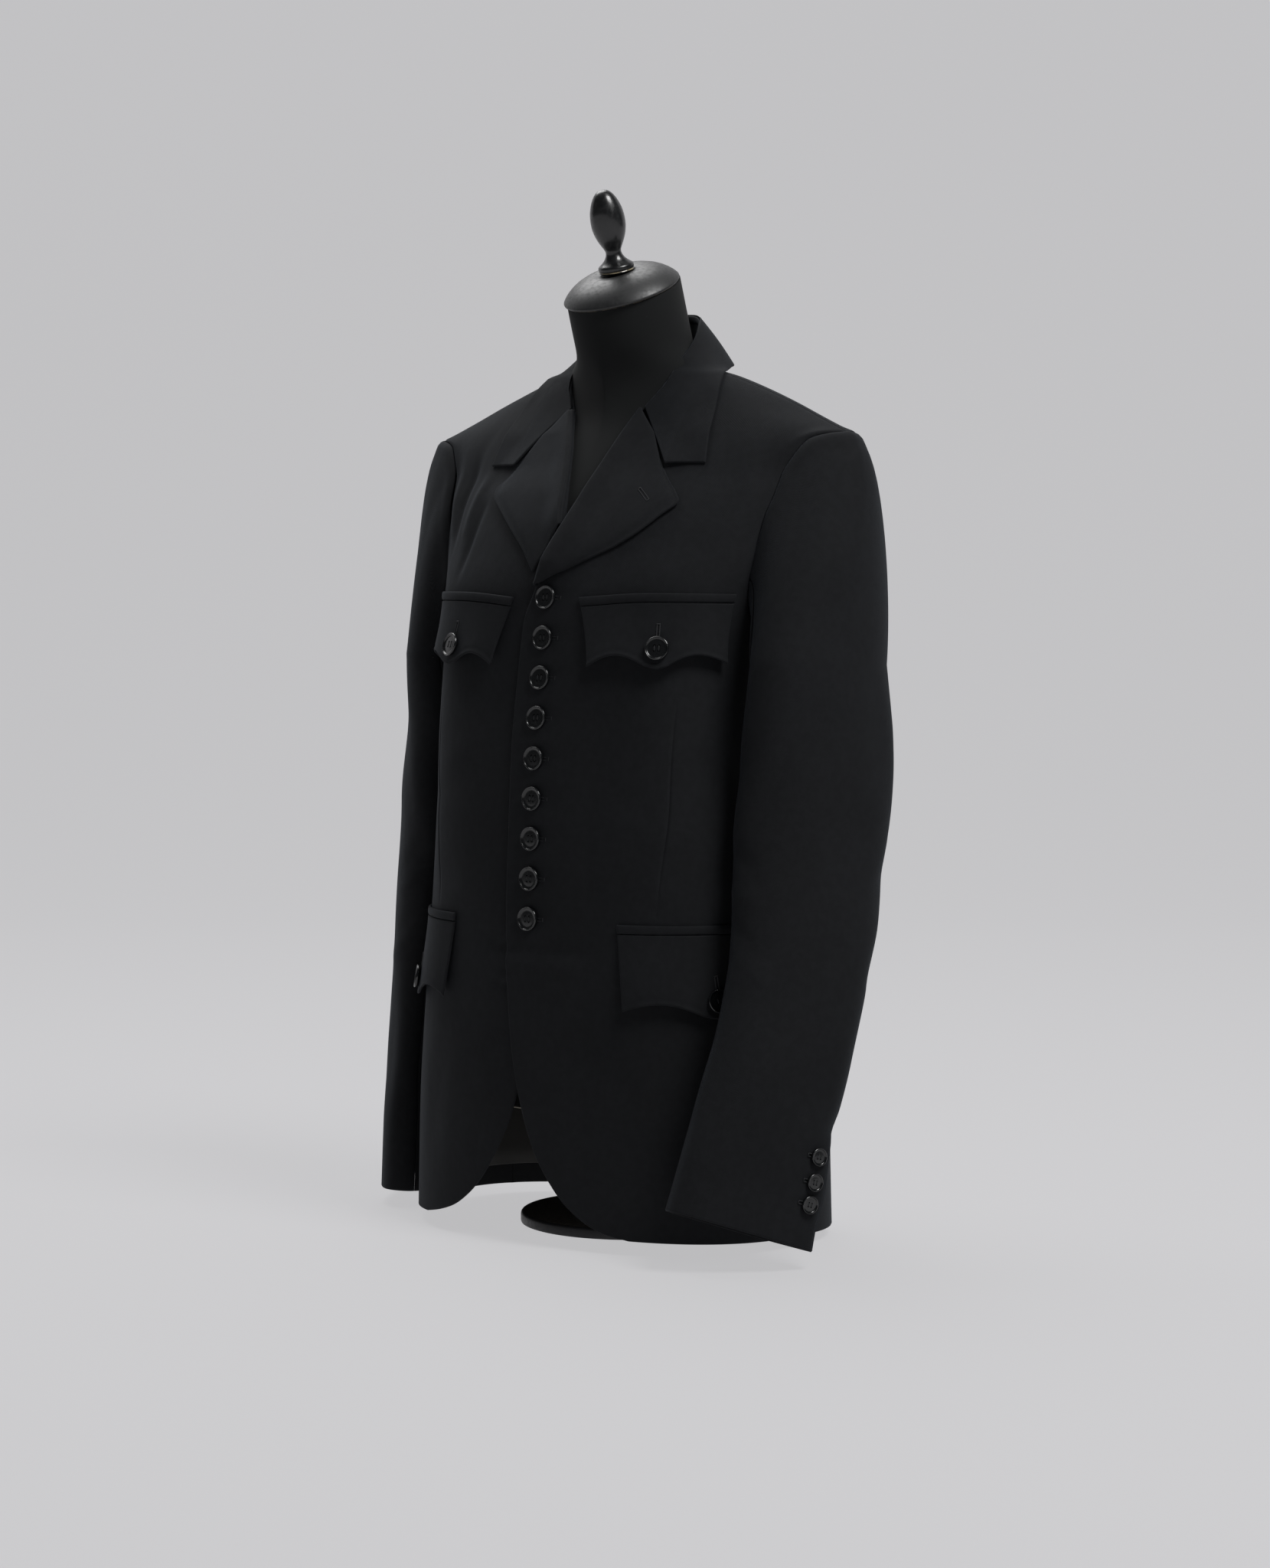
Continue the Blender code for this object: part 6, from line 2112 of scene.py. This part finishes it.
@dataclass
class Studio:
    """The floor, the backdrop, the lights and the camera.

    Args:
        paper: The floor's material.
    """

    paper: Material
    azimuth: float = 38.0
    pitch: float = 3.48
    distance: float = 3.2
    eye_height: float = 0.568
    lens: float = 86.77
    shift: float = 3.8 / 2048
    half_width: float = 9.0
    curve_start: float = 2.4
    curve_radius: float = 1.6

    def sweep(self) -> None:
        """Builds the floor with a curved backdrop behind the object."""
        turn = math.radians(self.azimuth)
        back = Vector((-math.sin(turn), math.cos(turn), 0))
        side = Vector((math.cos(turn), math.sin(turn), 0))
        start, radius = self.curve_start, self.curve_radius
        line = [(-self.half_width, 0.0), (-3.0, 0.0), (start, 0.0)]
        for angle in np.radians(np.arange(6, 91, 6)).tolist():
            line.append((start + radius * math.sin(angle), radius - radius * math.cos(angle)))
        line += [(start + radius, 3.0), (start + radius, 7.0)]
        points, faces = [], []
        for along, up in line:
            for across in (-self.half_width, self.half_width):
                points.append(back * along + side * across + Vector((0, 0, up)))
        for k in range(len(line) - 1):
            faces.append((2 * k, 2 * k + 1, 2 * k + 3, 2 * k + 2))
        built("studio_sweep", points, faces, self.paper)

    def light(self, name: str, turn: float, height: float, away: float, size: float, power: float) -> None:
        """Hangs a soft light.

        Args:
            name: The light's name.
            turn: Its place round the object, in degrees from the camera's side, positive to the right.
            height: Its height in metres.
            away: Its distance from the object in metres.
            size: Its width in metres.
            power: Its power in watts.
        """
        lamp = bpy.data.lights.new(name, "AREA")
        lamp.shape = "DISK"
        lamp.size = size
        lamp.energy = power
        thing = link(name, lamp)
        angle = math.radians(self.azimuth + turn)
        spot = Vector((math.sin(angle) * away, -math.cos(angle) * away, height))
        thing.location = spot
        thing.rotation_euler = (Vector((0, 0, 0.5)) - spot).to_track_quat("-Z", "Y").to_euler()

    def world(self, strength: float) -> None:
        """Fills the room with even light."""
        world = bpy.data.worlds.new("studio_air")
        world.use_nodes = True
        graph = Graph(world.node_tree)
        air = graph.add("ShaderNodeBackground")
        graph.feed(air, {"Color": (0.93, 0.96, 1.0, 1.0), "Strength": strength})
        graph.feed(graph.add("ShaderNodeOutputWorld"), {0: air.outputs[0]})
        bpy.context.scene.world = world

    def camera(self) -> None:
        """Sets the camera at the photograph's place."""
        lens = bpy.data.cameras.new("photo_camera")
        lens.lens = self.lens
        lens.sensor_width = 36.0
        lens.shift_x = self.shift
        thing = link("photo_camera", lens)
        turn = math.radians(self.azimuth)
        thing.location = (math.sin(turn) * self.distance, -math.cos(turn) * self.distance, self.eye_height)
        thing.rotation_euler = (math.radians(90 - self.pitch), 0, turn)
        bpy.context.scene.camera = thing

    def build(self) -> None:
        """Sets up the whole studio."""
        self.sweep()
        self.light("key", turn=44, height=2.6, away=1.7, size=1.2, power=58.0)
        self.light("top", turn=-148, height=2.5, away=1.1, size=1.8, power=34.0)
        self.world(0.06)
        self.camera()
        view = bpy.context.scene.view_settings
        view.view_transform = "Standard"
        view.look = "None"
        view.exposure = 0.0
        view.gamma = 1.0


@dataclass(frozen=True)
class Cut:
    """The flat cut of a cloth piece, alike on both sides of the blazer.

    Args:
        piece: The piece's name, with {} for the side; not used.
        width: Its width in metres.
        length: Its length in metres.
        areas: Its area in square metres, left and right.
        held: How it is held; not used.
        rests_on: What it rests on, with {} for the side.
    """

    piece: str
    width: float
    length: float
    areas: Tuple[float, ...]
    held: str
    rests_on: Tuple[str, ...]

    def declare(self) -> None:
        """Works out what the left piece and the right one, or the only one, rest on, and caps each area at
        width times length; nothing keeps the results.
        """
        for side, area in zip(Side, self.areas):
            rests = [name.format(side.label) for name in self.rests_on]
            area = min(area, self.width * self.length)


CUTS = (
    Cut("front_{}", 0.24, 0.84, (0.1505, 0.1484), "draped", ("form_torso_covered",)),
    Cut("side_{}", 0.1, 0.5, (0.0422, 0.0422), "draped", ("front_{}_cloth", "back_{}_cloth")),
    Cut("back_{}", 0.22, 0.83, (0.1354, 0.1351), "draped", ("form_torso_covered",)),
    Cut("sleeve_top_{}", 0.28, 0.67, (0.108, 0.1086), "hung", ("front_{}_cloth", "back_{}_cloth")),
    Cut("sleeve_under_{}", 0.225, 0.615, (0.069, 0.069), "hung", ("sleeve_top_{}_cloth",)),
    Cut("lapel_{}", 0.1, 0.18, (0.0105, 0.0099), "folded", ("front_{}_cloth",)),
    Cut("lining_{}", 0.262, 0.21, (0.0528, 0.0528), "hung", ("back_{}_cloth", "side_{}_cloth")),
    Cut("flap_chest_{}", 0.133, 0.055, (0.0062, 0.0062), "hung", ("front_{}_cloth",)),
    Cut("welt_chest_{}", 0.137, 0.012, (0.0012, 0.0012), "laid", ("front_{}_cloth",)),
    Cut("flap_hip_{}", 0.17, 0.07, (0.0099, 0.0099), "hung", ("front_{}_cloth",)),
    Cut("welt_hip_{}", 0.154, 0.012, (0.0013, 0.0013), "laid", ("front_{}_cloth",)),
    Cut("collar_fall", 0.104, 0.455, (0.0235,), "folded",
        ("collar_stand_cloth", "back_left_cloth", "back_right_cloth")),
    Cut("collar_stand", 0.035, 0.27, (0.0054,), "folded", ("back_left_cloth", "back_right_cloth")),
)


@dataclass
class Blazer:
    """The blazer: panels, sleeves, lapels, collar, flaps, buttons and sewing.

    Args:
        wool: The cloth.
        wool_inside: The cloth's wrong side and facings.
        lining: The lining.
        horn: The buttons' material.
        thread: The sewing thread.
    """

    wool: Material
    wool_inside: Material
    lining: Material
    horn: Material
    thread: Material
    button_top: float = 558.0
    button_pitch: float = 32.9
    button_count: int = 9
    hole_out: float = 4.0
    hole_length: float = 21.0
    flap_hole_length: float = 19.0
    flap_hole_drop: float = 10.5
    cuff_rises: Tuple[float, ...] = (35.0, 52.7, 72.5)
    cuff_place: float = 18.05
    cuff_hole_place: float = 18.85
    cuff_hole_length: float = 10.5
    lapel_hole_length: float = 15.0

    def body_drape(self) -> Drape:
        """The folds of the body, with the pull of the front buttons."""
        drape = Drape.on(body_surface, BODY_FOLDS)
        angles, heights = np.array(DART).T
        along = np.linspace(heights[0], heights[-1], 15)
        for side in Side:
            line = mirrored(body_surface(curve(heights, angles, along), along), side)
            drape.lines.append((line, 0.9 * MM, -0.9 * MM))
            drape.lines.append((line, 9.0 * MM, 0.8 * MM))
        drape.buttons = [self.front_place(None, 0.0, h)[0] for h in self.button_heights()]
        return drape

    def button_heights(self) -> List[float]:
        """Heights of the front buttons."""
        return [self.button_top - i * self.button_pitch for i in range(self.button_count)]

    @staticmethod
    def front_place(body: Optional[BodyCloth], out: float, height: float) -> Places:
        """A place on the middle of the left front's cloth, and the way out."""
        point, way = body_place(angle_at(out, height), height)
        cloth = body or BodyCloth(Drape([]))
        return cloth.settle(point, way, Side.LEFT)

    @staticmethod
    def sleeve_drape(sleeve: Sleeve) -> Drape:
        """The folds of one sleeve."""

        def surface(j: Array, height: Array) -> Array:
            """Points of the sleeve at these places and heights."""
            return np.array([sleeve.station(np.array([h]), np.array([k]))[0, 0] for h, k in zip(height, j)])

        drape = Drape.on(surface, SLEEVE_FOLDS)
        drape.lines = [(mirrored(line, sleeve.side), spread, rise) for line, spread, rise in drape.lines]
        return drape

    def build(self) -> None:
        """Builds all pieces."""
        body = BodyCloth(self.body_drape())
        body.build(self.wool, self.wool_inside)
        buttons = ButtonMaker(10.0, 3.6, self.horn, self.thread)
        small = ButtonMaker(7.3, 3.2, self.horn, self.thread)
        front_holes = self.close_front(body, buttons)
        flap_holes, cuff_holes = [], []
        for side in Side:
            left = side is Side.LEFT
            sleeve = Sleeve(side, LEFT_SLEEVE if left else RIGHT_SLEEVE, Drape([]))
            sleeve.drape = self.sleeve_drape(sleeve)
            sleeve.build(self.wool, self.wool_inside)
            for i, rise in enumerate(self.cuff_rises):
                small.put("button_cuff_%s_%d" % (side.label, i + 1), *sleeve.at(rise, self.cuff_place))
                spot, way, up = sleeve.at(rise, self.cuff_hole_place)
                cuff_holes.append(Buttonhole(spot, way.cross(up), way, self.cuff_hole_length, False))
            Lapel(side, LEFT_LAPEL if left else RIGHT_LAPEL, body).build(self.wool)
            Lining().build(side, self.lining)
            for flap in self.flaps(side, body):
                flap.build(self.wool)
                drop = float(flap.drop(np.array([[flap.peak]]))[0, 0]) - flap.button_rise
                spot, way, up = flap.at(flap.peak, drop)
                buttons.put("button_%s_%s" % (flap.kind.value, side.label), spot + way * CLEAR, way, up)
                spot, way, up = flap.at(flap.peak, drop - self.flap_hole_drop)
                flap_holes.append(Buttonhole(spot, up, way, self.flap_hole_length))
        Collar().build(self.wool)
        stitched("buttonhole_lapel", [self.lapel_hole(body)], self.thread)
        stitched("buttonholes_front", front_holes, self.thread)
        stitched("buttonholes_flaps", flap_holes, self.thread)
        stitched("buttonholes_cuffs", cuff_holes, self.thread)
        buttons.clear()
        small.clear()

    def close_front(self, body: BodyCloth, buttons: ButtonMaker) -> List[Buttonhole]:
        """Sews on the front buttons, some of them turned a little, and gives their buttonholes."""
        holes = []
        for i, height in enumerate(self.button_heights()):
            place, way = self.front_place(body, 0.0, height)
            spot = above_floor(place + way * (body.wall / 2 + 0.55 * MM))
            buttons.put("button_front_%d" % (i + 1), spot, Vector(way), Vector((0.03 * (i % 3 - 1), 0, 1)))
            place, way = self.front_place(body, self.hole_out, height)
            spot = above_floor(place + way * (body.wall / 2))
            holes.append(Buttonhole(spot, Vector((1, 0, 0)), Vector(way), self.hole_length))
        return holes

    @staticmethod
    def flaps(side: Side, body: BodyCloth) -> List[Flap]:
        """The chest flap and the hip flap of one side."""
        left = side is Side.LEFT
        chest = Flap(side, Pocket.CHEST, body, peak=0.545 if left else 0.45)
        hip = Flap(side, Pocket.HIP, body, inner=85.0, top=294.5, rise=0.0, width=150.0, corner=70.0,
                   arch=63.5, point=76.0, inner_slant=8.0, outer_slant=4.0, stand_off=5.0,
                   button_rise=15.0, peak=0.5 if left else 0.41)
        return [chest, hip]

    def lapel_hole(self, body: BodyCloth) -> Buttonhole:
        """The buttonhole of the left lapel, along a line between two places on the front."""
        (inner_out, inner_height), (outer_out, outer_height) = (62.2, 646.5), (76.3, 634.5)
        spot, way = self.front_place(body, 71.5, 640.5)
        ahead = (body_surface(angle_at(outer_out, outer_height), outer_height)
                 - body_surface(angle_at(inner_out, inner_height), inner_height))
        spot = above_floor(spot + way * (BODY_WALL / 2 + CLEAR + LAPEL_WALL + 1.2 * MM))
        return Buttonhole(spot, Vector(ahead).normalized(), Vector(way), self.lapel_hole_length, False)


def main() -> None:
    """Builds the looks of the blazer and its form, and the studio."""
    logging.basicConfig(level=logging.INFO, format="%(message)s")
    for name in ("Cube", "Light", "Camera"):
        if name in bpy.data.objects:
            bpy.data.objects.remove(bpy.data.objects[name])
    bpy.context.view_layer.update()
    effects = Effects.make()
    wool = ClothFinish("wool_twill_black", (0.0098, 0.0104, 0.0118), roughness=0.8, sheen=0.045,
                       sheen_roughness=0.4, sheen_tint=(0.72, 0.84, 1.0), specular=0.14, pitch=0.9 * MM,
                       rib=0.12 * MM, pucker=1.4 * MM, lint=0.4).make(effects)
    inside = ClothFinish("wool_inside", (0.0075, 0.0078, 0.0085), roughness=0.88, sheen=0.03,
                         sheen_roughness=0.5, sheen_tint=(0.8, 0.88, 1.0), specular=0.12, pitch=0.9 * MM,
                         rib=0.1 * MM, pucker=1.2 * MM, lint=0.2).make(effects)
    lining = ClothFinish("lining_brown_satin", (0.0062, 0.0054, 0.0038), roughness=0.5, sheen=0.03,
                         sheen_roughness=0.35, sheen_tint=(1.0, 0.9, 0.75), specular=0.4, pitch=0.5 * MM,
                         rib=0.04 * MM, pucker=1.2 * MM, lint=0.1).make(effects)
    horn = HardFinish("button_polished", (0.0042, 0.0047, 0.0052), roughness=0.2, coat=0.3,
                      coat_roughness=0.06, scuff=0.08).make(effects)
    # The finial gets a pale yellowish band round its foot's rim, and the cap a faint brownish one at its
    # rim's lower edge.
    wood = HardFinish("wood_black_lacquer", (0.006, 0.0064, 0.007), roughness=0.28, coat=0.3,
                      coat_roughness=0.1, pale_edge=(0.5, 0.42, 0.26), bands=((10.1 * MM, 0.7 * MM, 0.9),),
                      scuff=0.14).make(effects)
    cap = HardFinish("cap_black_lacquer", (0.0075, 0.008, 0.0085), roughness=0.48, coat=0.34,
                     coat_roughness=0.36, bands=((1.6 * MM, 0.9 * MM, 0.5),), scuff=0.2).make(effects)
    steel = HardFinish("stand_black_satin", (0.02, 0.02, 0.021), roughness=0.42, metallic=0.6,
                       scuff=0.12).make(effects)
    thread = PlainFinish("thread_black", (0.03, 0.031, 0.033), roughness=0.6, grain=0.2 * MM,
                         grain_scale=2600.0).make()
    paper = PlainFinish("studio_paper", (0.10, 0.099, 0.102), roughness=0.95, grain=0.1 * MM,
                        grain_scale=300.0, glow=0.51).make()
    Blazer(wool, inside, lining, horn, thread).build()
    form = DressForm()
    form.torso(FormFinish().make(effects))
    form.top(cap, wood)
    form.stand(steel)
    for cut in CUTS:
        cut.declare()
    Studio(paper).build()


if __name__ == "__main__":
    main()
